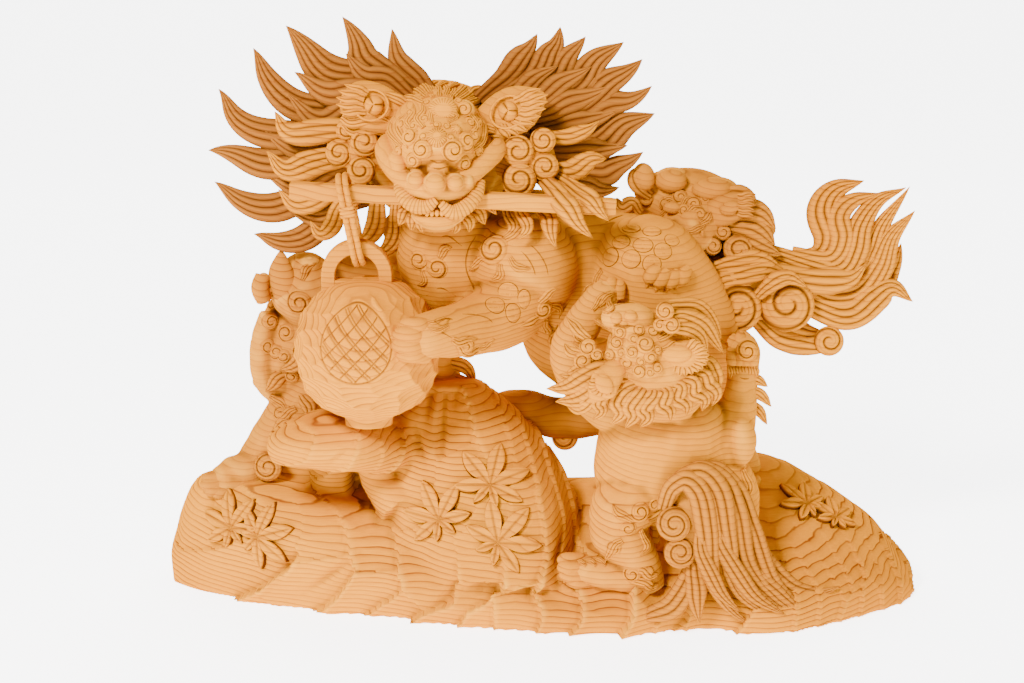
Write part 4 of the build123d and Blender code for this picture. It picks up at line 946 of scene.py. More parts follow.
def link():
    """A loop of two plaited cords round the stick and round the handle's bar: each cord follows the slot
    line p(t) of two half circles and two straight runs, shifted across it by a quarter of the width, and
    a bound collar of three turns holds the two runs together under the stick."""
    middle = stick_ends[0] + 0.17 * (stick_ends[1] - stick_ends[0])
    bar = handle_centre + plumb * (handle_outer + handle_inner) / 2
    line = middle - bar
    length = np.linalg.norm(line)
    up = line / length
    wide = unit(np.cross(line, -toward))
    deep = np.cross(wide, up)
    centre = (middle + bar) / 2
    reach = stick_half * np.sqrt(2) + link_gap + cord_half
    t = np.linspace(0, 1, 140, endpoint=False)
    s = t * (2 * length + 2 * np.pi * reach)
    top, left = length + np.pi * reach, 2 * length + np.pi * reach
    a, b = (s - length) / reach, (s - left) / reach
    runs = [s < length, s < top, s < left, s >= left]
    straight, back = s - length / 2, length / 2 - (s - top)
    along = np.select(runs, [straight, length / 2 + reach * np.sin(a), back, -length / 2 - reach * np.sin(b)])
    out = np.select(runs, [reach + 0 * s, reach * np.cos(a), -reach + 0 * s, -reach * np.cos(b)])
    past = np.where(np.abs(along) > length / 2, along - np.sign(along) * length / 2, 0)
    ring_out = unit(out[:, None] * deep + past[:, None] * up)
    parts = []
    angle = np.linspace(0, 2 * np.pi, 10, endpoint=False)
    ring = np.cos(angle)[None, :, None] * wide + np.sin(angle)[None, :, None] * ring_out[:, None]
    twist = 1 + 0.05 * np.sin(3 * angle[None, :] + 52 * np.pi * t[:, None])
    for shift in (-1.75, 1.75):
        path = centre + along[:, None] * up + out[:, None] * deep + shift * wide
        parts.append(hoop(path[:, None] + 1.68 * twist[..., None] * ring))
    a = np.linspace(0, 2 * np.pi, 28, endpoint=False)
    x, y = (np.sign(wave) * np.abs(wave) ** 0.7 for wave in (np.cos(a), np.sin(a)))
    cushion = 4.2 * x[:, None] * wide + 2.7 * y[:, None] * deep
    for turn in range(3):
        level = length / 2 - 8.6 + 1.9 * (turn - 1)
        for face in (-1, 1):
            run_middle = centre + face * reach * deep
            rims = ((-0.95, 0.86), (-0.6, 1), (0.6, 1), (0.95, 0.86))
            turns = [run_middle + (level + lift) * up + share * cushion for lift, share in rims]
            parts.append(skin(np.stack(turns)))
    return parts


make("plaited_link", link(), ["cord_link"], body="cord", crease=40)


# Lion's body

trunk_rows = [
    (415, 262, 14, 11), (440, 258, 12, 33), (490, 256, 12, 37), (545, 258, 14, 38), (598, 268, 16, 38),
    (645, 281, 18, 36.5), (683, 301, 20, 30), (712, 322, 22, 21), (730, 336, 22, 10),
]
neck_rows = [
    (455, 312, -2, 8), (455, 300, -2, 18), (453, 280, -4, 27), (450, 252, -4, 30), (447, 225, -2, 28),
    (445, 195, 0, 24),
]
haunch_rows = [
    (600, 264, -6, 18), (617, 268, -8, 30), (642, 278, -10, 36), (671, 300, -8, 31), (697, 328, -2, 23.5),
    (717, 356, 6, 17), (728, 400, 14, 12.3), (735, 440, 18, 10.3), (742, 465, 18, 10.6), (744, 490, 18, 11.4),
    (745, 515, 18, 9.8),
]
far_haunch_rows = [
    (575, 300, 30, 20), (562, 330, 30, 24), (585, 362, 32, 21), (606, 392, 32, 16), (592, 414, 32, 13),
    (555, 418, 30, 12), (525, 408, 26, 11), (500, 408, 24, 9), (484, 414, 22, 6),
]
foreleg_rows = [
    (550, 222, -6, 10), (537, 245, -12, 26.5), (522, 268, -16, 31), (512, 292, -20, 26.5), (503, 312, -28, 20.5),
    (480, 324, -40, 16.7), (455, 331, -54, 14.5), (435, 334, -64, 13), (420, 338, -69, 12), (407, 343, -72, 8),
]
far_foreleg_rows = [
    (420, 262, 20, 19), (415, 290, 22, 20), (420, 320, 24, 16.4), (432, 350, 24, 13.2), (440, 375, 22, 11.6),
    (446, 395, 16, 10.4), (448, 412, 12, 9.2),
]
chest_rows = [(425, 250, -12, 9), (437, 262, -16, 16), (448, 285, -18, 14), (452, 305, -14, 8)]

body_parts = [
    limb(trunk_rows, 0.9, 48, sides=32),
    limb(neck_rows),
    limb(haunch_rows, 0.8, 48, sides=28),
    limb(far_haunch_rows, 1.0, 40),
    limb(foreleg_rows, 1.0, 48, sides=28),
    limb(far_foreleg_rows),
    limb(chest_rows),
]


def whittled(places, normals):
    """The faint flats of a knife: small level ripples that drift with the form, whichever way it faces."""
    x, _, z = places.T
    ripple = 0.22 * np.sin((x + 0.6 * z) / 3.1 + 1.5 * np.sin(z / 11))
    return ripple * np.sin((z - 0.4 * x) / 4.3 + 1.2 * np.sin(x / 13))


def under_belly_shade(part):
    """Browner far legs from painted shade under the belly: 0.65 added to the hollows where y is past 6, z under 140
    and x under 70, by ramps.
    """
    verts, tris, hollow = part
    x, y, z = verts.T
    share = np.clip((y - 6) / 8, 0, 1) * np.clip((140 - z) / 25, 0, 1) * np.clip((70 - x) / 15, 0, 1)
    return verts, tris, np.clip(hollow + 0.65 * share, -1, 1)


body = under_belly_shade(fuse(body_parts, 1.5, rounds=5, press=whittled))
body_ground = Ground(body)
lion_nodes = ["lion_trunk", "lion_neck", "hind_leg_near", "hind_leg_far", "foreleg_near", "foreleg_far"]
make("lion_body", body, lion_nodes, crease=180)


ornaments = [
    scale(body_ground, *row)
    for row in (
        (631, 228, 5.6, 3.2, 2), (652, 231, 5.2, 3.6, 2), (672, 240, 4.6, 3.8, 2), (621, 242, 5.8, 4.2, 3),
        (643, 245, 5.6, 4.5, 3), (663, 251, 5.2, 4.8, 2), (610, 257, 5.5, 5.4, 2), (631, 259, 5.4, 5.3, 2),
        (652, 264, 5.2, 5.2, 2), (508, 291, 5.6, 4.8, 2), (495, 305, 5.6, 5.2, 2), (524, 299, 3.6, 5.4, 2),
        (513, 313, 4.5, 5.4, 2),
    )
]
ornaments += reliefs(body_ground, (
    (494, 249, 8.8, 1, 60), (437, 268, 6.2, 1, 200), (419, 260, 5.8, -1, 20), (543, 309, 6.4, 1, 0),
    (466, 347, 5.4, -1, 90),
))
ornaments += boss(body_ground, 434, 230, 2.2, pleats=3)
ornaments += licks(body_ground, [
    ((486, 258), (478, 262), (469, 271), 2.3), ((500, 264), (500, 274), (490, 282), 2.5),
    ((510, 258), (518, 268), (531, 268), 2.3), ((505, 240), (516, 232), (528, 222), 2.8),
    ((440, 258), (444, 250), (452, 247), 2.6), ((422, 270), (424, 280), (418, 286), 2),
    ((540, 302), (548, 294), (557, 287), 3), ((538, 318), (530, 322), (518, 327), 3),
    ((545, 320), (546, 330), (536, 336), 2.8), ((548, 304), (556, 306), (562, 314), 2.4),
    ((458, 344), (470, 352), (488, 342), 3.4), ((452, 340), (462, 342), (478, 338), 2.8),
    ((478, 348), (486, 346), (494, 338), 2.4), ((596, 300), (588, 292), (592, 282), 2.6),
    ((602, 270), (596, 282), (600, 296), 2.4), ((560, 330), (552, 342), (556, 356), 2.6),
    ((574, 334), (564, 346), (568, 360), 2.6), ((444, 318), (434, 322), (424, 320), 1.6),
    ((448, 326), (438, 330), (426, 328), 1.6),
])
toe_rows = [(9, -13, 3), (4, -7, 4.4), (0, -1, 4), (-1, 2, 2)]
claw_rows = [(-1, 1, 1.6), (-2, 5, 1.1), (-3, 8, 0.3)]
for place in ((649, 280, 0), (658, 284, 0), (668, 285, 0), (678, 282, 0)):
    ornaments += [toe(body_ground, np.array(place) + rows) for rows in (toe_rows, claw_rows)]
ornaments += seams(
    body_ground,
    [(416, 312), (434, 321), (451, 319), (468, 336)], [(462, 314), (476, 315), (490, 320), (498, 335)],
    [(430, 333), (442, 333), (452, 338)], [(520, 238), (536, 250), (546, 266), (549, 284)],
    [(512, 244), (526, 256), (534, 270), (536, 284)], [(476, 236), (468, 250), (466, 268), (474, 290)],
    [(430, 244), (446, 236), (462, 246)], [(426, 296), (440, 288), (456, 296)],
    [(600, 226), (620, 216), (650, 214)], [(570, 300), (560, 316), (556, 334)],
)
make("lion_ornament", ornaments, [])

toes = [(404, 326, -74, 5), (399, 335, -76, 5.2), (398, 345, -76, 5.2), (401, 354, -74, 4.8)]
paws = digits(toes, [(26, 2, 4, 0.9), (12, 0, -2, 1), (2, 0, 0, 0.86), (-5, 2, 5, 0.4)], 0.9, 14)
tips = [(*place, 1) for *place, _ in toes]
paws += digits(tips, [(1, 0, -1, 1.7), (-6, 2, 2, 1.3), (-11, 6, 5, 0.3)], 1.0, 10, sides=8)
paws += [
    knob(*place, radii)
    for radii, places in (
        ((4.4, 3.6, 5.4), ((436, 404, 6), (443, 407, 4), (451, 408, 4), (459, 406, 6))),
        ((4.2, 4, 6), ((727, 480, 6), (736, 483, 4), (745, 484, 4), (754, 481, 6))),
        ((5, 3.4, 4.6), ((482, 404, 16), (476, 411, 14), (480, 419, 14))),
    )
    for place in places
]
hock = tufts([
    ((722, 330, 0), (742, 338, -4), (756, 352, -2), 4.2),
    ((724, 345, 2), (742, 360, -2), (750, 378, 0), 3.8),
    ((437, 356, 20), (462, 366, 16), (477, 384, 16), 4),
    ((440, 372, 18), (462, 382, 14), (470, 396, 14), 3.4),
])
make("lion_paws", paws + hock + curl(565, 437, 28, 7.6, start=90), [])


# Lion's head

skull_rows = [
    (438, 146, 12, 23), (438, 146, 0, 28.5), (437, 146, -14, 29.2), (437, 148, -28, 27.4), (437, 152, -38, 23.6),
    (437, 159, -46, 18.5), (437, 168, -52, 13),
]
nape_rows = [(438, 152, 2, 36), (438, 152, 12, 42), (440, 154, 26, 40), (442, 160, 38, 26), (443, 164, 43, 12)]
jaw_rows = [(437, 205, -16, 15), (437, 212, -32, 17), (437, 217, -44, 14), (437, 218, -52, 7)]
muzzle_rows = [
    (404, 188, -44, 6.5), (420, 186, -51, 7.6), (437, 188, -53, 8), (455, 186, -51, 7.6), (470, 186, -44, 6.5),
]
chin_rows = [(414, 213, -46, 4), (426, 219, -50, 5), (438, 221, -52, 5.2), (450, 219, -50, 5), (462, 212, -46, 4)]
head_parts = [
    limb(skull_rows, 1.04, 40, out=plumb, sides=32),
    limb(nape_rows, 0.95, 32, out=plumb, sides=32),
    limb(jaw_rows, 0.6, 24, out=plumb, sides=24),
    *knobs(
        (443, 110, -36, 8.6, 7.4, 10), (437, 136, -43, 8.4, 8, 9), (456, 128, -41, 5.4, 5.2, 8.5),
        (464, 110, -32, 6, 5.6, 8), (412, 136, -36, 7, 8.4, 8), (466, 142, -38, 6.6, 7, 8),
        (437, 152, -50, 3, 3, 5),
    ),
    limb([(437, 156, -46, 5.5), (438, 164, -49, 6.2), (437, 174, -52, 6.4)], 1.0, 12),
    limb(muzzle_rows, 0.9, 24),
    *knobs(
        (416, 179, -53, 5.4, 5.2, 6), (435, 183, -59, 6, 6.2, 6.4), (455, 182, -57, 5, 5, 5.6),
        (467, 181, -52, 4, 4.2, 5),
    ),
    limb([(390, 142, -20, 6), (390, 154, -26, 7), (398, 168, -34, 6.6), (404, 180, -40, 6)], 1.0, 20),
    limb([(486, 144, -18, 6), (484, 156, -26, 7), (474, 168, -34, 6.6), (464, 180, -41, 6)], 1.0, 20),
    limb(chin_rows, 0.9, 28),
]
head_ground = carve(
    "lion_head", head_parts, ["lion_skull", "lower_jaw", "mane_nape"], 1.1, face_wood, rounds=2, gain=11.0
)

crown = licks(head_ground, [
    ((424, 104), (408, 100), (397, 104), (388, 112), 3), ((426, 98), (412, 92), (400, 94), (390, 101), 3.2),
    ((430, 94), (420, 86), (409, 86), (400, 90), 3), ((434, 98), (428, 88), (421, 83), (414, 81), 2.4),
    ((439, 97), (436, 88), (432, 82), (428, 78), 2.4), ((445, 97), (445, 88), (443, 82), (441, 77), 2.4),
    ((450, 98), (453, 90), (454, 83), (453, 78), 2.4), ((454, 98), (464, 88), (476, 87), (488, 92), 3),
    ((458, 102), (470, 93), (484, 95), (497, 104), 3.2), ((464, 104), (476, 99), (487, 104), (496, 112), 3),
    ((468, 110), (478, 107), (486, 112), (492, 121), 2.6), ((409, 146), (401, 136), (400, 122), (410, 110), 2.4),
    ((416, 133), (407, 124), (414, 114), (412, 104), 2.2), ((424, 128), (417, 120), (424, 112), (421, 103), 2.2),
    ((472, 150), (482, 140), (484, 126), (476, 114), 2.4), ((470, 134), (476, 126), (472, 116), (464, 112), 2),
    ((402, 146), (393, 138), (391, 126), (396, 114), 2.2), ((478, 152), (489, 143), (491, 130), (486, 120), 2.2),
    ((432, 124), (430, 116), (434, 108), (432, 101), 1.6), ((448, 122), (456, 116), (452, 108), (456, 101), 1.6),
], thick=0.75)
face = boss(head_ground, 443, 110, 6.4, pleats=27, stretch=1.2, depth=0.045, inner=0.5, rise=0.5)
face += boss(head_ground, 437, 137, 5.6, pleats=21, rise=0.7, depth=0.1)
face += boss(head_ground, 456, 129, 3.0, pleats=11, rise=0.8, depth=0.1)
face += reliefs(head_ground, ((464, 109, 4.2, -1, 60), (424, 119, 3.2, 1, 200), (470, 122, 3.4, -1, 100)))
face += reliefs(head_ground, (
    (410, 137, 5.2, -1, 200), (422, 149, 5.6, 1, 20), (466, 142, 5.4, 1, 180), (453, 150, 6.2, -1, 300),
    (413, 160, 4.2, 1, 90), (464, 163, 4.4, -1, 60), (399, 150, 3.6, 1, 200), (478, 151, 3.8, -1, 0),
    (437, 125, 2.6, 1, 0), (402, 124, 3.6, 1, 60), (411, 113, 3.4, -1, 150), (474, 135, 3.6, 1, 100),
    (428, 103, 3.2, 1, 0), (458, 102, 3, -1, 200), (424, 137, 3, -1, 0), (450, 138, 3, 1, 200),
    (446, 126, 2.6, -1, 120), (414, 126, 3.2, 1, 300), (478, 122, 3, 1, 30),
), rise=0.7)
face += [knob(437, 152, -53, (2.9, 2.9, 3.4)), knob(397.5, 163, -45, (4.6, 7.2, 4.8), turn=0.35)]
face += knobs((435, 184, -63, 5.2, 5.2, 4.4), (455, 183, -60, 4.2, 4.2, 4), (416, 180, -57, 4.4, 4.2, 4))
cheek_roll_left = [
    (387, 140, -24, 4), (385, 149, -31, 5.6), (389, 160, -37, 6), (396, 171, -43, 5.6), (404, 180, -48, 4.8),
    (413, 186, -51, 4),
]
cheek_roll_right = [
    (499, 144, -24, 3.8), (496, 151, -31, 5.2), (487, 160, -38, 5.4), (475, 171, -45, 5.2), (464, 179, -50, 4.8),
    (456, 185, -52, 4),
]
whiskers_left = [
    (397, 180, -47, 2), (401, 193, -52, 3.4), (411, 204, -56, 4), (425, 207, -58, 3.8), (437, 200, -59, 2),
]
whiskers_right = [
    (482, 180, -45, 2), (477, 194, -51, 3.5), (466, 207, -56, 4.2), (452, 212, -58, 4), (440, 203, -59, 2),
]
lower_lip = [
    (412, 210, -50, 1.6), (422, 219, -54, 2.6), (438, 222, -57, 2.8), (454, 219, -54, 2.6), (464, 211, -50, 1.6),
]
face += [
    limb(cheek_roll_left, 1.0, 28),
    limb(cheek_roll_right, 1.0, 28),
    pleated(whiskers_left, 17, flat=0.7, depth=0.1),
    pleated(whiskers_right, 18, flat=0.7, depth=0.1),
]
face += knobs(*((across, 213, -57, 1.3, 2.0, 1.4) for across in (427, 432, 437, 442, 447)))
face.append(limb(lower_lip, 0.9, 30))
face += seams(
    head_ground,
    [(477, 153), (486, 158), (491, 167)], [(472, 160), (480, 164), (485, 172)],
    [(466, 166), (474, 170), (478, 178)], [(430, 160), (438, 163), (447, 160)],
    [(428, 166), (438, 169), (449, 166)], [(405, 168), (410, 172), (420, 172)],
    [(450, 173), (462, 172), (472, 166)], [(385, 150), (388, 158), (394, 174)], width=0.45,
)
make("lion_crown", crown, [], material=face_wood)
make("lion_face", face, [], material=face_wood)


def ear(node, pad, feathers, folds, cup, ball):
    """A carved ear: a leaf-shaped pad that carries a raised oval rim, a split ball in the rim, blunt feathers
    that fan out of it, and long folds below."""
    parts = [limb(pad, 0.3, 30, -sight, 24, 0.3)]
    parts += tufts(feathers, thick=0.8, root=0.9, steps=20, ridges=2)
    parts += tufts(folds, thick=0.7, steps=30)
    *place, rim_wide, rim_high, turn = cup
    u, v, w = axes_of(turn=turn)
    a = np.linspace(0, 2.02 * np.pi, 60)[:, None]
    rim = spots(place)[0] + rim_wide * np.cos(a) * u + rim_high * np.sin(a) * v
    parts.append(sweep(rim, 0.75, 0.9, oval(10), w, 0.45))
    parts += button(*ball, pleats=3, rise=0.75, inner=0.0, depth=0.24)
    make("carved_" + node, parts, [node], crease=55, material=face_wood)


ear(
    "ear_left",
    [
        (412, 126, -12, 6), (397, 117, -17, 10.5), (376, 108, -19, 13), (358, 103, -18.5, 12.4), (346, 101, -18, 8),
        (341, 100, -17, 3),
    ],
    [
        ((364, 97, -23), (352, 93, -25), (338, 91, -24), 2.3),
        ((363, 102, -23), (350, 99, -25), (336, 98, -24), 2.3),
        ((363, 107, -23), (350, 105, -25), (336, 105, -24), 2.3),
        ((365, 112, -23), (353, 112, -25), (340, 113, -24), 2.3),
        ((367, 93, -22), (357, 88, -24), (344, 85, -23), 2.2),
    ],
    [
        ((342, 118, -19), (352, 122, -22), (372, 122, -22), (396, 132, -18), 3.2),
        ((346, 112, -18), (360, 117, -21), (380, 118, -22), (400, 127, -20), 3),
        ((343, 124, -16), (354, 131, -18), (372, 131, -19), (392, 136, -17), 3),
        ((382, 94, -18), (394, 97, -20), (404, 104, -20), (412, 114, -18), 2.8),
    ],
    (371, 105, -24, 9.2, 8.2, 0), (374, 105, -23, 5.4),
)
ear(
    "ear_right",
    [
        (474, 134, -12, 6), (488, 125, -17, 10.5), (506, 115, -19, 13), (523, 106, -18.5, 12), (537, 99, -18, 7),
        (545, 96, -17, 2.4),
    ],
    [
        ((521, 103, -23), (533, 99, -25), (548, 94, -24), 2.3),
        ((522, 107, -23), (533, 105, -25), (548, 101, -24), 2.3),
        ((521, 112, -23), (532, 111, -25), (546, 108, -24), 2.3),
        ((519, 116, -23), (528, 117, -25), (541, 116, -24), 2.3),
        ((515, 120, -23), (524, 122, -25), (535, 124, -24), 2.3),
        ((511, 123, -23), (518, 127, -25), (528, 131, -24), 2.3),
        ((506, 125, -23), (512, 130, -25), (520, 136, -23), 2.3),
        ((500, 126, -23), (505, 132, -25), (511, 139, -23), 2.3),
        ((515, 100, -22), (527, 94, -24), (541, 88, -23), 2.2),
    ],
    [
        ((478, 134, -18), (490, 136, -20), (502, 137, -20), (514, 138, -18), 2.8),
        ((474, 124, -19), (482, 126, -22), (492, 130, -22), (502, 134, -19), 2.6),
    ],
    (508, 112, -24, 9.8, 8.2, 0.55), (508, 111, -23, 5.4),
)

beard_rows = [
    ((414, 208, -34), (404, 214, -42), (399, 226, -42), 4),
    ((420, 212, -40), (412, 220, -48), (412, 231, -47), 3.6),
    ((426, 216, -44), (420, 224, -50), (424, 233, -49), 2.8),
    ((460, 212, -40), (468, 220, -48), (470, 232, -47), 3.6),
    ((452, 216, -44), (456, 225, -50), (454, 234, -49), 3), ((468, 206, -34), (478, 213, -42), (486, 224, -42), 4),
    ((474, 200, -30), (486, 205, -38), (497, 214, -38), 3.2),
]
make("chin_beard", tufts(beard_rows), ["beard"])


# Manes

left_outer = [
    ((436, 100, 4), (420, 84, 8), (406, 66, 12), (398, 50, 15), (389, 30, 18), 6.2),
    ((424, 100, 4), (394, 86, 8), (372, 64, 12), (362, 44, 15), (339, 20, 19), 9.6),
    ((405, 102, 4), (368, 86, 8), (336, 72, 12), (311, 49, 15), (283, 30, 18), 10.4),
    ((384, 120, 4), (340, 116, 8), (303, 104, 11), (272, 76, 14), (249, 52, 16), 8.6),
    ((372, 140, 3), (328, 142, 6), (280, 130, 9), (240, 116, 12), (214, 94, 14), 8.6),
    ((366, 156, 3), (322, 162, 5), (276, 158, 7), (240, 154, 10), (209, 157, 12), 8.8),
    ((366, 180, 2), (322, 194, 4), (282, 203, 6), (244, 196, 8), (213, 187, 11), 8.4),
    ((372, 196, 2), (338, 210, 3), (310, 230, 3), (280, 238, 5), (254, 239, 8), 7.6),
]
left_middle = [
    ((412, 98, 0), (386, 80, 3), (366, 72, 5), (344, 56, 8), 6.4),
    ((396, 102, -1), (358, 92, 1), (326, 88, 4), (293, 76, 7), 7.4),
    ((382, 118, -1), (348, 112, 0), (318, 116, 3), (284, 96, 8), 6.8),
    ((376, 134, -2), (340, 140, -1), (300, 146, 2), (258, 132, 7), 6.4),
    ((372, 166, -2), (336, 174, -2), (300, 184, 1), (262, 178, 6), 6.6),
    ((376, 190, -3), (348, 204, -3), (318, 216, -1), (284, 214, 4), 5.8),
]
left_inner = [
    ((372, 130, -6), (340, 131, -8), (312, 131, -9), (288, 129, -9), (273, 113, -5), 7.2),
    ((368, 152, -7), (334, 160, -9), (306, 163, -10), (284, 167, -9), (265, 153, -4), 7.6),
    ((366, 184, -5), (334, 194, -6), (314, 200, -7), (294, 203, -6), (277, 191, -3), 5.8),
    ((350, 190, -6), (340, 208, -9), (332, 224, -9), (320, 232, -8), (309, 222, -5), 5.2),
    ((376, 190, -6), (378, 208, -12), (374, 226, -12), (364, 238, -10), (352, 236, -8), 5.6),
    ((396, 204, -8), (396, 226, -12), (388, 246, -11), (374, 260, -10), 5),
    ((410, 210, -12), (412, 226, -16), (406, 244, -15), (398, 256, -14), 4.2),
]
right_outer = [
    ((478, 100, 4), (498, 80, 9), (516, 66, 13), (529, 52, 16), (534, 33, 19), 7),
    ((494, 104, 4), (528, 80, 9), (548, 64, 13), (557, 48, 16), (556, 27, 19), 7.8),
    ((510, 110, 4), (544, 88, 8), (564, 72, 12), (574, 54, 15), (582, 35, 18), 7),
    ((520, 118, 4), (562, 92, 8), (586, 80, 12), (603, 60, 14), (620, 39, 17), 8.8),
    ((528, 128, 3), (574, 106, 7), (600, 94, 10), (622, 78, 12), (638, 56, 15), 8.4),
    ((532, 136, 3), (576, 120, 6), (604, 111, 8), (628, 102, 11), (648, 82, 14), 7.4),
    ((536, 146, 2), (580, 146, 5), (610, 140, 7), (632, 126, 9), (652, 110, 12), 9),
    ((542, 162, 2), (580, 166, 3), (606, 176, 4), (624, 166, 7), (640, 149, 10), 7.4),
]
right_middle = [
    ((496, 104, 0), (520, 90, 3), (538, 80, 6), (556, 64, 9), 5.8),
    ((514, 110, -1), (544, 94, 2), (566, 84, 5), (589, 64, 9), 6.2),
    ((524, 120, -1), (556, 106, 1), (582, 102, 4), (608, 84, 8), 6.6),
    ((532, 134, -2), (564, 124, 0), (590, 124, 3), (616, 108, 7), 6.4),
    ((540, 150, -3), (572, 148, -2), (600, 152, 1), (626, 142, 5), 6.2),
    ((540, 176, -4), (572, 184, -4), (596, 192, -2), (618, 184, 2), 5.8),
]
right_inner = [
    ((536, 136, -8), (558, 136, -12), (574, 136, -14), (588, 131, -14), (598, 120, -10), 4.6),
    ((540, 168, -12), (562, 170, -18), (578, 169, -22), (593, 160, -24), (606, 157, -20), 6.2),
    ((540, 176, -20), (556, 190, -38), (564, 206, -52), (575, 222, -56), (594, 236, -56), 6.4),
    ((556, 176, -18), (574, 186, -34), (587, 198, -48), (596, 210, -54), (610, 219, -54), 5),
    ((514, 200, -22), (522, 214, -36), (526, 228, -46), (520, 240, -48), 3.6),
    ((534, 202, -20), (546, 214, -34), (549, 230, -44), (558, 247, -48), 4.8),
    ((504, 204, -18), (510, 216, -28), (512, 228, -34), (504, 238, -36), 3.4),
]
left_fan = tufts(left_outer, wave=0.042, sunk=0.5) + tufts(left_middle, wave=0.042, sunk=0.4)
make("fan_left", left_fan, ["mane_left"], material=mane_wood)
make("locks_left", tufts(left_inner), ["mane_inner_left"])
right_fan = tufts(right_outer, wave=0.042, sunk=0.5) + tufts(right_middle, wave=0.042, sunk=0.4)
make("fan_right", right_fan, ["mane_right"], material=mane_wood)
make("locks_right", tufts(right_inner), ["mane_inner_right"])

left_curls = curls(
    (339, 153, -16, 7.6, 1, 200), (364.5, 142, -19, 7.8, -1, 30), (361.5, 170, -20, 7.8, 1, 300),
    (346, 130, -13, 5.6, -1, 120),
)
right_curls = curls(
    (518, 151, -26, 8.6, -1, 200), (543, 140, -22, 7, 1, 60), (519, 180, -30, 9.4, 1, 120),
    (545, 167, -26, 7.6, -1, 320),
)
left_bed = limb([(328, 152, -8, 5), (350, 152, -9, 9), (372, 155, -9, 9), (394, 160, -7, 6)])
right_bed = limb([(498, 162, -12, 7), (525, 162, -15, 12), (552, 155, -11, 7)])
make("cheek_curls_left", [*left_curls, left_bed], ["mane_curls_left"])
make("cheek_curls_right", [*right_curls, right_bed], ["mane_curls_right"])

# The back of the mane: rows of locks that leave the nape and lie on the back of the outer locks. A row is its
# count of locks, their start and reach from the nape, their depth and half-width, and the arc that they fill.
lock_rows = ((13, 18, 50, 20, 8.4, 228), (11, 12, 40, 37, 8.4, 228), (11, 2, 34, 45.5, 7.6, 345))
nape_centre = spots((440, 150, 30))[0]
backward = np.array((0, 1, 0))
nape_locks = []
for row, (count, start, reach, deep, width, arc) in enumerate(lock_rows):
    for k in range(count):
        a = np.radians(-24 + arc * (k + 0.5 * (row % 2)) / (count - 0.5))
        ray = np.array((np.cos(a), 0.0, np.sin(a)))
        turn = np.array((-np.sin(a), 0.0, np.cos(a)))
        high = 1 - 0.62 * np.exp(-(((np.degrees(a) - 88) / 34) ** 2))
        stations = nape_centre + np.outer(high * (start + reach * np.array((0, 0.4, 0.75, 1))), ray)
        back = deep - 30 - np.array((-2, 1, 5, 9))
        stations = stations + np.outer((0, 3, -2, 5), turn) + np.outer(back, backward)
        nape_locks += flame(stations, width, steps=34, seed=31 + 13 * k + row, out=backward)
for k in range(6):
    stations = spots((398 + 18 * k, 196, 30))[0] + np.array([(0, 0, 0), (2, 3, -12), (-2, 4, -22), (3, 5, -34)])
    nape_locks += flame(stations, 7.0, steps=34, seed=5 + k, out=backward)
make("mane_back", nape_locks, [], material=mane_wood)


# Tail

tail_root_rows = [(700, 275, 16, 12), (728, 282, 16, 21), (765, 285, 16, 21), (800, 282, 18, 10)]
tail_root = [limb(tail_root_rows, 0.6)]
tail_root += curls((736, 307, 2, 14.6, 1, 150), (787, 304, 4, 15.4, 1, 200), turns=1.9)
tail_root += curls((739, 247, 8, 8.8, 1, 180), (712, 245, 10, 5.8, 1, 0), (722, 230, 12, 5.4, 1, 90))
tail_root += tufts([
    ((716, 268, 0), (736, 262, -2), (760, 262, 0), (786, 270, 4), 6),
    ((712, 280, -2), (740, 274, -4), (770, 274, 0), (800, 284, 6), 6),
    ((706, 300, 0), (714, 286, -4), (732, 280, -5), (752, 284, -2), 5),
    ((758, 296, -2), (770, 284, -5), (788, 279, -5), (808, 286, 0), 5),
])
make("tail_snails", tail_root, ["tail_curls"])
tail_rows = [
    (
        (752, 258, 16), (796, 276, 17), (832, 294, 17), (862, 292, 18), (884, 268, 18), (893, 236, 18),
        (911, 208, 17), 10,
    ),
    (
        (756, 268, 19), (796, 284, 20), (836, 298, 20), (864, 282, 20), (878, 252, 20), (884, 222, 19),
        (905, 184, 18), 8.6,
    ),
    (
        (766, 252, 13), (806, 262, 13), (840, 268, 13), (858, 250, 15), (866, 224, 16), (880, 200, 17),
        (904, 184, 18), 7.6,
    ),
    ((790, 262, 20), (818, 256, 19), (829, 236, 18), (826, 210, 18), (838, 190, 18), (863, 178, 18), 9.6),
    ((792, 254, 15), (828, 258, 14), (842, 238, 14), (842, 216, 15), (856, 200, 16), (878, 190, 17), 7),
    ((852, 300, 22), (880, 292, 23), (894, 268, 24), (899, 243, 25), 5.6),
    ((788, 294, 14), (822, 308, 13), (852, 314, 13), (878, 300, 14), (894, 290, 15), (914, 299, 15), 8.6),
    ((780, 282, 22), (816, 300, 22), (846, 306, 22), (872, 298, 22), (890, 276, 22), 7.6),
    ((748, 266, 10), (790, 274, 8), (826, 284, 8), (850, 280, 9), (864, 262, 11), 7.4),
]
make("tail_fan", tufts(tail_rows, steps=60), ["tail_flames"])
hook_rows = [
    ((750, 306, 16), (780, 326, 15), (804, 338, 14), (832, 334, 13), 9),
    ((754, 318, 12), (780, 338, 11), (806, 348, 11), (836, 346, 12), 6.4),
]
make("tail_hooked_lock", tufts(hook_rows) + curl(829, 341, 9, 8.4, hand=-1, start=200), ["tail_hook"])


# Cub in front

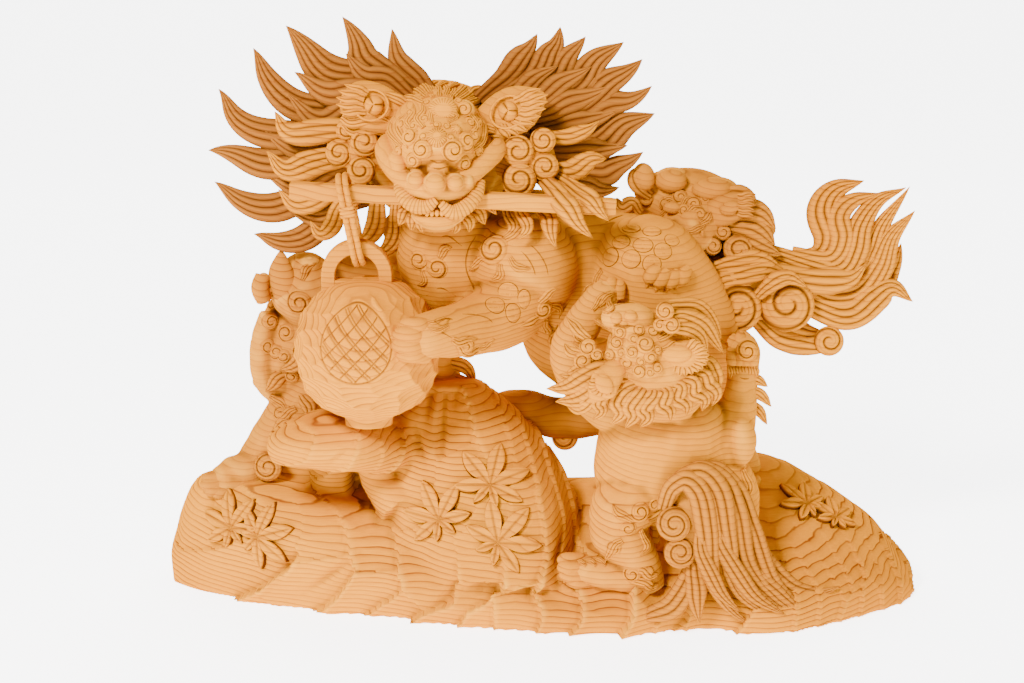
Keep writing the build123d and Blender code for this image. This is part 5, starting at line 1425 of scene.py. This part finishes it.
cub_rows = [
    (640, 520, -50, 14), (645, 497, -50, 28), (655, 467, -50, 34.5), (668, 437, -50, 36), (676, 415, -50, 29),
    (676, 402, -50, 14),
]
cub_head_rows = [
    (682, 405, -56, 14), (668, 387, -62, 23.5), (652, 366, -67, 25), (642, 348, -71, 21), (634, 332, -73, 15.5),
    (630, 320, -73, 8),
]
cub_jaw_rows = [(655, 352, -54, 8), (645, 332, -56, 9), (637, 314, -58, 5.4)]
cub_arm_left_rows = [
    (636, 420, -50, 12.6), (606, 404, -52, 13.6), (582, 378, -52, 13), (571, 350, -48, 11.6), (584, 322, -44, 10),
    (600, 300, -40, 9), (610, 288, -36, 7.4),
]
cub_arm_right_rows = [
    (700, 458, -46, 14.6), (721, 440, -46, 17), (735, 415, -42, 12.2), (741, 392, -36, 9), (743, 368, -28, 8.8),
    (744, 352, -20, 9), (744, 340, -13, 6.4),
]
cub_leg_left_rows = [(662, 480, -50, 10), (636, 496, -56, 17.3), (615, 512, -60, 16.5), (598, 526, -60, 8)]
cub_shin_left_rows = [
    (604, 512, -60, 10), (616, 530, -60, 15), (632, 552, -58, 13), (646, 576, -56, 10), (650, 590, -56, 8),
]
cub_foot_left_rows = [
    (656, 573, -54, 8), (640, 574, -56, 10.4), (612, 573, -60, 9.4), (588, 570, -62, 8), (572, 569, -62, 5),
]
cub_leg_right_rows = [
    (685, 470, -44, 13), (714, 474, -48, 15.5), (736, 486, -48, 12), (742, 512, -48, 9.4), (734, 545, -48, 8.6),
    (731, 578, -48, 8.6), (731, 604, -48, 8.6),
]
cub_parts = [
    limb(cub_rows, 0.68, 36), limb(cub_head_rows, 0.9, 36), limb(cub_jaw_rows), limb(cub_arm_left_rows, 1, 36),
    limb(cub_arm_right_rows, 1, 36), limb(cub_leg_left_rows), limb(cub_shin_left_rows), limb(cub_foot_left_rows),
    limb(cub_leg_right_rows, 1, 36),
    *knobs(
        (628, 318, -76, 14.6, 8.4, 9), (632, 332, -80, 11, 6.5, 7), (640, 350, -86, 10, 7.6, 6.4),
        (616, 350, -82, 4.6, 7, 5), (664, 346, -80, 5, 7.4, 5), (646, 368, -86, 9.4, 6.6, 6),
        (602, 300, -42, 6.6, 6, 6.6), (740, 440, -52, 9, 14, 13),
    ),
]
cub_nodes = ["cub_body", "cub_head", "cub_jaw", "cub_arm_left", "cub_arm_right", "cub_leg_left", "cub_leg_right"]
cub_ground = carve("cub", cub_parts, cub_nodes, 1.2, rounds=3, gain=8.0, press=whittled)

cub_dress = reliefs(cub_ground, (
    (664, 310, 5, 1, 40), (667, 323, 4.6, -1, 120), (680, 326, 3.6, 1, 200), (640, 512, 5.8, 1, 90),
    (628, 528, 4.8, -1, 180), (632, 574, 5.4, 1, 0), (596, 372, 5.4, 1, 90), (722, 478, 5.2, 1, 20),
    (655, 505, 4.6, 1, 200), (614, 548, 4.2, 1, 60), (648, 572, 3.8, -1, 120), (722, 478, 5.2, 1, 200),
))
cub_dress += reliefs(cub_ground, (
    (617, 343, 4, 1, 30), (645, 344, 5, -1, 80), (650, 357, 3.8, 1, 140), (627, 362, 4.2, -1, 200),
    (639, 371, 4, 1, 250), (623, 373, 3.2, -1, 20), (632, 352, 3.4, 1, 300), (610, 355, 3.4, -1, 90),
    (657, 368, 3.4, 1, 0), (620, 332, 3.6, 1, 120), (652, 331, 3.4, -1, 40), (634, 339, 3.4, -1, 160),
    (641, 361, 2.8, 1, 60), (614, 365, 2.8, -1, 220), (650, 372, 2.8, -1, 100), (622, 353, 2.8, 1, 0),
    (639, 330, 3.2, 1, 90), (657, 350, 2.8, -1, 20),
), rise=0.7)
cub_dress += curls((665, 311, -88, 4.8, 1, 40), (671, 325, -88, 4.8, -1, 140), (660, 325, -87, 3.6, 1, 250))
cub_dress += curl(747, 351, -36, 6.0, start=30, rise=0.7)
cub_dress += curls((588, 347, -80, 4.6, 1, 90), (583, 361, -81, 5, -1, 30), (597, 355, -82, 3.4, 1, 200))
cub_dress += tufts([
    ((668, 319, -86), (684, 315, -80), (700, 324, -74), (712, 340, -68), (725, 352, -64), 4.8),
    ((672, 328, -86), (686, 328, -82), (699, 338, -76), (709, 352, -71), 4.2),
    ((662, 308, -84), (678, 303, -76), (696, 308, -70), (712, 324, -64), (723, 338, -60), 4.4),
    ((590, 340, -78), (580, 333, -74), (574, 324, -68), (566, 318, -64), 3.2),
    ((586, 356, -80), (572, 352, -76), (564, 344, -70), 3),
])
cub_dress += knobs((616.5, 318, -83, 3.3, 3.3, 3.4), (630.5, 316, -84, 3.6, 3.3, 3.4), (624, 324, -84, 2.4, 2, 2.2))
cub_dress += licks(cub_ground, [
    ((655, 508), (666, 496), (678, 478), 3.2), ((648, 520), (662, 512), (676, 500), 2.8),
    ((622, 540), (612, 548), (606, 562), 2.6), ((742, 470), (748, 484), (746, 500), 3),
    ((600, 382), (612, 392), (626, 396), 2.6), ((586, 344), (578, 338), (574, 328), 2.2),
    ((592, 352), (582, 350), (572, 344), 2.4), ((598, 306), (606, 298), (616, 292), 2),
    ((592, 310), (600, 300), (610, 290), 2), ((604, 312), (612, 306), (620, 300), 2),
    ((632, 520), (620, 514), (612, 504), 2.6), ((640, 530), (646, 544), (640, 556), 2.4),
    ((662, 350), (672, 346), (680, 342), 2.4), ((658, 340), (668, 334), (678, 334), 2.4),
    ((664, 330), (676, 330), (690, 336), 2.6), ((612, 330), (604, 336), (600, 346), 2),
    ((586, 566), (580, 562), (572, 562), 1.6), ((596, 566), (590, 561), (582, 560), 1.6),
    ((606, 566), (600, 560), (592, 558), 1.6),
], thick=0.8)
cub_dress += seams(
    cub_ground,
    [(604, 332), (614, 326), (632, 326), (650, 328)], [(602, 318), (612, 307), (632, 303), (648, 310)],
    [(736, 376), (746, 379), (757, 375)],
)
cub_dress += digits(
    [(562, 560, -63, 1), (562, 567, -66, 1), (564, 575, -66, 1), (570, 581, -64, 1)],
    [(24, 0, 4, 3.6), (8, 0, 0, 4.2), (1, 0, 0, 3.6), (-3, 1, 2, 1.6)],
)
cub_dress += digits(
    [(604, 286, -37, 1), (611, 281, -37, 1), (619, 284, -37, 1)],
    [(0, 14, -3, 3.2), (0, 5, -3, 3.6), (1, 0, 0, 3), (1, -3, 4, 1.2)],
)
cub_dress += digits(
    [(733, 340, -16, 1), (741, 336, -16, 1), (749, 340, -16, 1)],
    [(0, 14, -4, 3.2), (0, 5, -4, 3.6), (0, 0, -1, 3), (0, -3, 3, 1.2)],
)
cub_dress += digits(
    [(732, 351, -30, 1), (739, 351, -30, 1), (746, 351, -30, 1), (753, 351, -30, 1)],
    [(0, 0, 0, 3), (0, 7, -4, 3.4), (0.5, 15, -5, 2.8)],
)
elbow_rows = [
    ((630, 572, -67), (642, 569, -68), (650, 577, -67), (659, 573, -65), 3),
    ((630, 580, -67), (644, 582, -68), (651, 588, -66), (659, 584, -64), 2.8),
    *(
        ((across, 363, -34), (across + 0.3, 371, -37.5), (across + 0.5, 379, -36), 2.2)
        for across in (731, 737, 743, 749, 755)
    ),
    ((742, 372, -34), (756, 380, -36), (768, 386, -34), 3),
    ((742, 384, -36), (758, 394, -38), (772, 406, -36), 3.2),
    ((744, 398, -38), (757, 410, -40), (768, 424, -38), 3),
]
make("cub_dress", cub_dress + tufts(elbow_rows), [])


def small_ear(node, pad, ball, centre, reach, first, last, count):
    """A cub's ear: a dished leaf that carries an oval ball, with blunt feathers fanned round its end."""
    parts = [limb(pad, 0.45, 26, -sight, 16, 0.4)]
    across, down, deep, radii, turn = ball
    parts.append(knob(across, down, deep, radii, turn=turn))
    rim = np.array(radii) * (1.35, 1.45, 1)
    parts.append(knob(across, down, deep + 2.4, rim, turn=turn))
    a = np.radians(np.linspace(first, last, count))
    for k in range(count):
        ray = np.array((np.cos(a[k]), np.sin(a[k]) * 0.72))
        feather = ((0.5, 1.5), (0.8, 0.6), (1.06, 1.6))
        rows = [(*(np.array(centre) + reach * share * ray), deep + rise) for share, rise in feather]
        parts += flame(spots(rows), 2.0, ridges=2, steps=14, thick=0.8, root=0.9, seed=k)
    make("carved_" + node, parts, [node], crease=55, material=face_wood)


small_ear(
    "cub_ear_right", [(655, 364, -76, 4), (672, 357, -81, 8), (690, 354, -83, 7.6), (703, 354, -82, 3)],
    (676, 354, -86, (8.4, 4.6, 3), 0.05), (682, 356), 26, -60, 110, 13,
)
small_ear(
    "cub_ear_left",
    [(624, 362, -82, 4), (614, 371, -88, 6.4), (604, 384, -92, 7.6), (597, 394, -91, 5.6), (593, 403, -88, 1)],
    (604, 384, -95, (4.4, 5.8, 2.6), 0.6), (604, 385), 15, 60, 200, 8,
)
cub_mane_rows = [
    ((632, 376, -80), (606, 371, -85), (582, 378, -85), (564, 386, -79), (547, 391, -72), 5.4),
    ((636, 382, -82), (614, 383, -87), (592, 391, -87), (573, 399, -81), (556, 404, -73), 5.6),
    ((622, 388, -84), (606, 392, -88), (590, 398, -87), (578, 408, -82), (566, 407, -76), 4.4),
    ((624, 388, -85), (607, 394, -89), (598, 403, -88), (600, 412, -84), (594, 421, -79), 4.2),
    ((640, 384, -83), (627, 391, -88), (617, 402, -88), (620, 414, -85), (612, 426, -80), 5.2),
    ((648, 385, -83), (641, 396, -89), (630, 406, -88), (633, 417, -85), (627, 429, -80), 5.4),
    ((654, 385, -83), (654, 397, -89), (643, 408, -88), (646, 418, -85), (641, 428, -80), 5),
    ((658, 385, -83), (667, 393, -88), (661, 404, -88), (669, 412, -85), (672, 420, -80), 5.2),
    ((664, 383, -82), (680, 387, -86), (676, 398, -86), (686, 406, -83), (688, 415, -78), 5),
    ((672, 379, -80), (692, 382, -84), (693, 393, -83), (704, 400, -80), (704, 411, -75), 5.2),
    ((682, 374, -78), (703, 374, -80), (706, 386, -79), (715, 394, -76), (714, 406, -71), 5.2),
    ((690, 366, -75), (708, 362, -75), (713, 374, -74), (714, 386, -72), (721, 396, -68), 5),
    ((602, 358, -76), (590, 362, -80), (576, 370, -79), (562, 380, -72), 4),
    ((604, 366, -78), (588, 372, -82), (574, 376, -80), (558, 376, -73), 4),
]
make("cub_locks", tufts(cub_mane_rows), ["cub_mane"])
cub_tail_root = [limb([(700, 462, -60, 7), (696, 482, -66, 10), (690, 510, -70, 10), (688, 540, -72, 8)])]
cub_tail_root += curls((674, 524, -80, 9.4, 1, 0), (680, 552, -80, 8.8, -1, 180), turns=2.3)
make("cub_tail_snails", cub_tail_root, ["cub_tail_curls"], material=shaded_wood)
cub_tail_rows = [
    ((690, 545, -72), (694, 572, -76), (674, 602, -76), (652, 612, -72), (632, 624, -66), 6.6),
    ((692, 548, -74), (696, 578, -79), (694, 600, -77), (702, 622, -69), 6),
    (
        (664, 508, -76), (670, 486, -81), (686, 476, -83), (698, 492, -83), (701, 530, -82), (706, 576, -80),
        (728, 606, -75), (756, 622, -66), 6.6,
    ),
    (
        (668, 500, -74), (680, 476, -79), (700, 470, -80), (714, 492, -80), (720, 540, -79), (738, 592, -74),
        (797, 623, -60), 6.8,
    ),
    (
        (680, 482, -72), (700, 466, -74), (722, 478, -74), (730, 512, -74), (740, 566, -72), (776, 600, -67),
        (824, 617, -55), 6.8,
    ),
    (
        (700, 470, -68), (720, 468, -69), (736, 490, -68), (744, 530, -68), (764, 580, -66), (800, 606, -58),
        (846, 616, -47), 6.6,
    ),
    (
        (716, 474, -64), (736, 484, -63), (748, 514, -62), (757, 556, -62), (786, 590, -58), (816, 594, -52),
        (838, 582, -48), 6.2,
    ),
    ((700, 520, -80), (704, 556, -84), (716, 590, -82), (742, 610, -74), 4.6),
    ((716, 500, -78), (724, 548, -80), (748, 594, -76), (788, 612, -68), 5),
    ((734, 520, -70), (746, 566, -70), (778, 598, -66), (812, 612, -58), 5),
]
make("cub_tail_fan", tufts(cub_tail_rows), ["cub_tail_flames"], material=shaded_wood)


# Cub on the lion's back

back_cub_rows = [
    (638, 206, 30, 9), (660, 200, 30, 16.7), (690, 206, 30, 22), (720, 218, 30, 20.5), (748, 232, 28, 17),
    (768, 244, 26, 9),
]
back_muzzle_rows = [(700, 215, 24, 19), (690, 228, 12, 17.5), (681, 236, 2, 12), (673, 238, -4, 6)]
back_cub_parts = [
    limb(back_cub_rows, 1, 32), limb(back_muzzle_rows, 1, 28, out=plumb),
    *knobs(
        (672, 178, 24, 10, 6.4, 9), (715, 188, 22, 13, 6.6, 10), (667, 226, -3, 4.2, 3.6, 4),
        (677, 232, -4, 4.2, 3.6, 4), (691, 228, 0, 6, 6.6, 6),
    ),
    limb([(672, 244, -1, 3.4), (690, 248, -2, 4), (712, 240, 2, 3.4)], 1, 16),
    limb([(640, 262, 4, 5), (650, 276, 0, 6.4), (656, 286, -2, 5)], 1, 12),
    limb([(664, 262, 2, 5), (672, 274, -2, 6.4), (676, 284, -3, 5)], 1, 12),
]
back_ground = carve("riding_cub", back_cub_parts, ["back_cub"], 1.2, shaded_wood, rounds=3, gain=8.0)
back_dress = curls((723, 232, 4, 4.6, 1, 0), (713, 246, 0, 4.8, -1, 90), (738, 250, 2, 8.4, 1, 200), rise=0.6)
for across, down, radius, hand, start in (
    (672, 206, 3.2, 1, 40), (700, 214, 3.4, -1, 120), (647, 199, 4.4, 1, 200), (627, 194, 4.6, -1, 30),
    (695, 252, 3.4, 1, 0), (690, 264, 3.2, -1, 90), (704, 260, 3.2, 1, 180), (680, 197, 4.5, 1, 60),
    (694, 204, 4, -1, 150), (665, 203, 3.5, -1, 0), (706, 198, 4, 1, 240), (684, 210, 3.4, -1, 30),
):
    place, _ = lay(back_ground.tree, across, down)
    back_dress += snail(place, radius, hand=hand, start=start, rise=0.6)
back_dress += licks(back_ground, [
    ((686, 214), (694, 208), (704, 208), 2.2), ((680, 208), (686, 200), (694, 198), 2),
    ((660, 208), (668, 200), (678, 202), 2.2), ((660, 216), (668, 210), (678, 212), 2),
    ((700, 224), (708, 218), (712, 210), 2.2), ((684, 232), (696, 230), (706, 224), 2),
], thick=0.8)
back_dress += knobs(
    (671, 181, 14, 9, 6.5, 8), (713, 190, 12, 12, 6.5, 9), (644, 177, 14, 6.2, 8, 6, 0.2),
    (666, 224, -6, 3.4, 3.2, 3.4), (675, 231, -7, 2.6, 2.6, 2.8),
)
back_dress += [knob(672, 208, 4, (5, 3.4, 4)), knob(690, 217, 2, (6.4, 4.2, 4.6), turn=0.3)]
back_dress += knobs(*((x, 240 - 0.35 * (x - 682), -4, 1.3, 1.8, 1.5) for x in (682, 687, 692, 697, 702)))
back_ear = [(700, 224, 8, 4), (716, 214, 5, 8.4), (732, 207, 4, 8.4), (745, 201, 4, 5.6), (752, 198, 5, 2)]
back_dress += [limb(back_ear, 0.45, 26, -sight, 16, 0.4), knob(730, 208, 0, (6, 3.8, 3.4), turn=0.35)]
for down, tip in ((196, 194), (200, 199), (204, 205), (208, 211), (213, 217)):
    feather = spots([(738, down, -1), (746, (down + tip) / 2, -2), (756, tip, 0)])
    back_dress += flame(feather, 1.8, ridges=2, steps=14, root=0.9)
back_rows = [
    ((712, 200, 10), (730, 194, 8), (746, 198, 6), (758, 206, 6), 5.6),
    ((720, 212, 10), (744, 208, 7), (762, 216, 6), (777, 228, 6), 6.2),
    ((724, 224, 9), (744, 224, 6), (762, 234, 5), (776, 244, 6), 6.2),
    ((728, 236, 8), (748, 240, 5), (764, 250, 4), (782, 254, 6), 5.6),
    ((650, 196, 16), (640, 188, 13), (636, 176, 12), (640, 166, 12), 4.8),
    ((740, 252, 6), (758, 258, 4), (774, 262, 4), 5),
    ((640, 212, 10), (632, 204, 8), (622, 206, 8), (616, 198, 10), 4.4),
]
make("riding_cub_mane", back_dress + tufts(back_rows), ["back_cub_mane"], material=shaded_wood)


# Cub at the left

left_cub_rows = [
    (266, 396, 24, 11), (282, 378, 26, 21.6), (297, 350, 28, 27), (318, 320, 30, 27), (350, 292, 30, 23),
    (388, 276, 28, 15), (420, 270, 26, 11),
]
left_head_rows = [(312, 315, 16, 13.5), (308, 298, 14, 19.5), (300, 278, 14, 18), (286, 264, 12, 9)]
left_leg_rows = [
    (322, 375, 22, 16.5), (303, 398, 20, 15), (274, 430, 16, 11), (254, 458, 14, 9.3), (243, 478, 10, 9.9),
    (222, 483, 6, 8.1), (206, 486, 4, 4.5),
]
left_parts = [
    limb(left_cub_rows, 0.85, 36), limb(left_head_rows, 1, 24), limb(left_leg_rows, 1, 36),
    *knobs(
        (264, 286, 8, 5, 8, 8), (309, 266, 8, 7.4, 6, 8), (240, 469, 8, 12, 8.6, 9), (225, 475, 6, 8.6, 6.6, 7.6),
    ),
    limb([(268, 312, 14, 4.6), (262, 335, 12, 5.8), (260, 360, 12, 6.2), (265, 384, 14, 5.8), (280, 399, 16, 4.6)]),
]
left_nodes = ["left_cub", "left_cub_head", "left_cub_leg"]
left_ground = carve("peering_cub", left_parts, left_nodes, 1.3, shaded_wood, rounds=3, gain=9.0, press=whittled)
left_dress = [
    limb([(288, 304, 6, 5), (285, 290, 3, 7.6), (281, 272, 2, 7), (281, 258, 4, 3.6), (281, 250, 5, 0.6)], 0.55, 26)
]
left_dress += [limb([(264, 300, 2, 4.4), (260, 288, 0, 5), (263, 275, 2, 4.2)], 1.0, 16)]
left_dress += reliefs(left_ground, (
    (299, 303, 7, 1, 90), (286, 333, 5.4, -1, 0), (271, 322, 5, 1, 200), (268, 346, 4.8, -1, 90),
    (284, 356, 4.4, 1, 30), (268, 290, 4.6, 1, 60), (272, 305, 4.2, -1, 240), (298, 350, 4.4, -1, 100),
    (292, 376, 4.6, 1, 300), (280, 414, 4.4, 1, 0), (306, 326, 4.6, -1, 60), (284, 276, 4.2, 1, 0),
    (276, 352, 4.8, 1, 120),
))
left_dress += licks(left_ground, [
    ((290, 420), (280, 424), (272, 436), 2.8), ((296, 408), (286, 414), (276, 422), 2.8),
    ((302, 280), (306, 270), (316, 262), 2.6), ((284, 286), (278, 276), (278, 264), 2.2),
    ((270, 396), (280, 402), (288, 412), 2.6),
])
left_dress += digits(
    [(206, 478, 2, 1), (204, 484, 0, 1), (208, 490, 0, 1), (216, 493, 0, 1)],
    [(16, -2, 2, 3.4), (5, 0, 0, 3.8), (0, 1, 0, 3), (-3, 2, 1, 1.4)],
)
left_dress += curl(268, 467, 3, 8.2, start=0, turns=2.0)
left_rows = [
    ((322, 320, 6), (310, 344, -2), (296, 362, 0), (280, 372, 6), 5.4),
    ((308, 385, 8), (322, 394, 4), (330, 408, 4), 4.4), ((300, 392, 8), (308, 406, 4), (310, 422, 4), 4.2),
    ((290, 372, 10), (276, 380, 6), (266, 392, 8), 4.4),
]
make("peering_cub_mane", left_dress + tufts(left_rows), ["left_cub_mane"], material=shaded_wood)


# Pegs stay as they are in the frame, in the same wood
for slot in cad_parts["dowels"].material_slots:
    slot.material = carved_wood


# Stage, light and camera


def stage_sheet():
    """A pale floor that rises behind: z = rise (1 - sqrt(1 - t^2)) with t = (y - near) / reach."""
    half, near, reach, rise = 4.0, 1.2, 1.8, 4.2
    x = np.linspace(-half, half, 9)
    y = np.concatenate([[-half], np.linspace(near, near + reach, 40), [near + reach + 0.001]])
    t = np.clip((y - near) / reach, 0, 1)
    z = rise * (1 - np.sqrt(np.maximum(1 - t**2, 0)))
    verts = np.stack(np.broadcast_arrays(x[None, :], y[:, None], z[:, None] - 0.0002), -1).reshape(-1, 3)
    k = np.arange(len(verts)).reshape(len(y), len(x))
    faces = np.stack([k[:-1, :-1], k[:-1, 1:], k[1:, 1:], k[1:, :-1]], -1).reshape(-1, 4)
    mesh = bpy.data.meshes.new("stage_sheet")
    mesh.from_pydata(verts.tolist(), [], faces.tolist())
    mesh.shade_smooth()
    sheet = bpy.data.objects.new("stage_sheet", mesh)
    bpy.context.scene.collection.objects.link(sheet)
    paper = bpy.data.materials.new("stage_paper")
    paper.use_nodes = True
    shader = paper.node_tree.nodes["Principled BSDF"]
    looks = {"Base Color": (0.75, 0.75, 0.75, 1), "Roughness": 0.9, "Specular IOR Level": 0.1}
    looks.update({"Emission Color": (1, 1, 1, 1), "Emission Strength": 4.6})
    for trait, value in looks.items():
        shader.inputs[trait].default_value = value
    mesh.materials.append(paper)


def lamp(name, place, target, size, power, tone=(1.0, 1.0, 1.0)):
    """A soft square lamp that looks at a target."""
    light = bpy.data.lights.new(name, "AREA")
    light.shape = "SQUARE"
    light.size = size
    light.energy = power
    light.color = tone
    fixture = bpy.data.objects.new(name, light)
    fixture.location = place
    fixture.rotation_euler = (Vector(target) - Vector(place)).to_track_quat("-Z", "Y").to_euler()
    bpy.context.scene.collection.objects.link(fixture)


stage_sheet()
lamp("key", (-0.72, -1.3, 1.3), (0, 0, 0.13), 0.4, 100, (1.0, 0.985, 0.96))
lamp("fill", (1.4, -1.2, 0.8), (0, 0, 0.15), 1.2, 5)
lamp("top", (0.1, 0.3, 1.8), (0, 0, 0.1), 1.2, 15)

world = bpy.data.worlds.new("studio")
world.use_nodes = True
world.node_tree.nodes["Background"].inputs["Color"].default_value = (1.0, 1.0, 1.0, 1)
world.node_tree.nodes["Background"].inputs["Strength"].default_value = 0.42
bpy.context.scene.world = world

lens = bpy.data.cameras.new("camera")
lens.lens = 85.0
lens.sensor_width = 36.0
lens.clip_start, lens.clip_end = 0.05, 30.0
camera = bpy.data.objects.new("camera", lens)
camera.location = eye / 1000
camera.rotation_euler = Vector(sight).to_track_quat("-Z", "Y").to_euler()
bpy.context.scene.collection.objects.link(camera)
bpy.context.scene.camera = camera
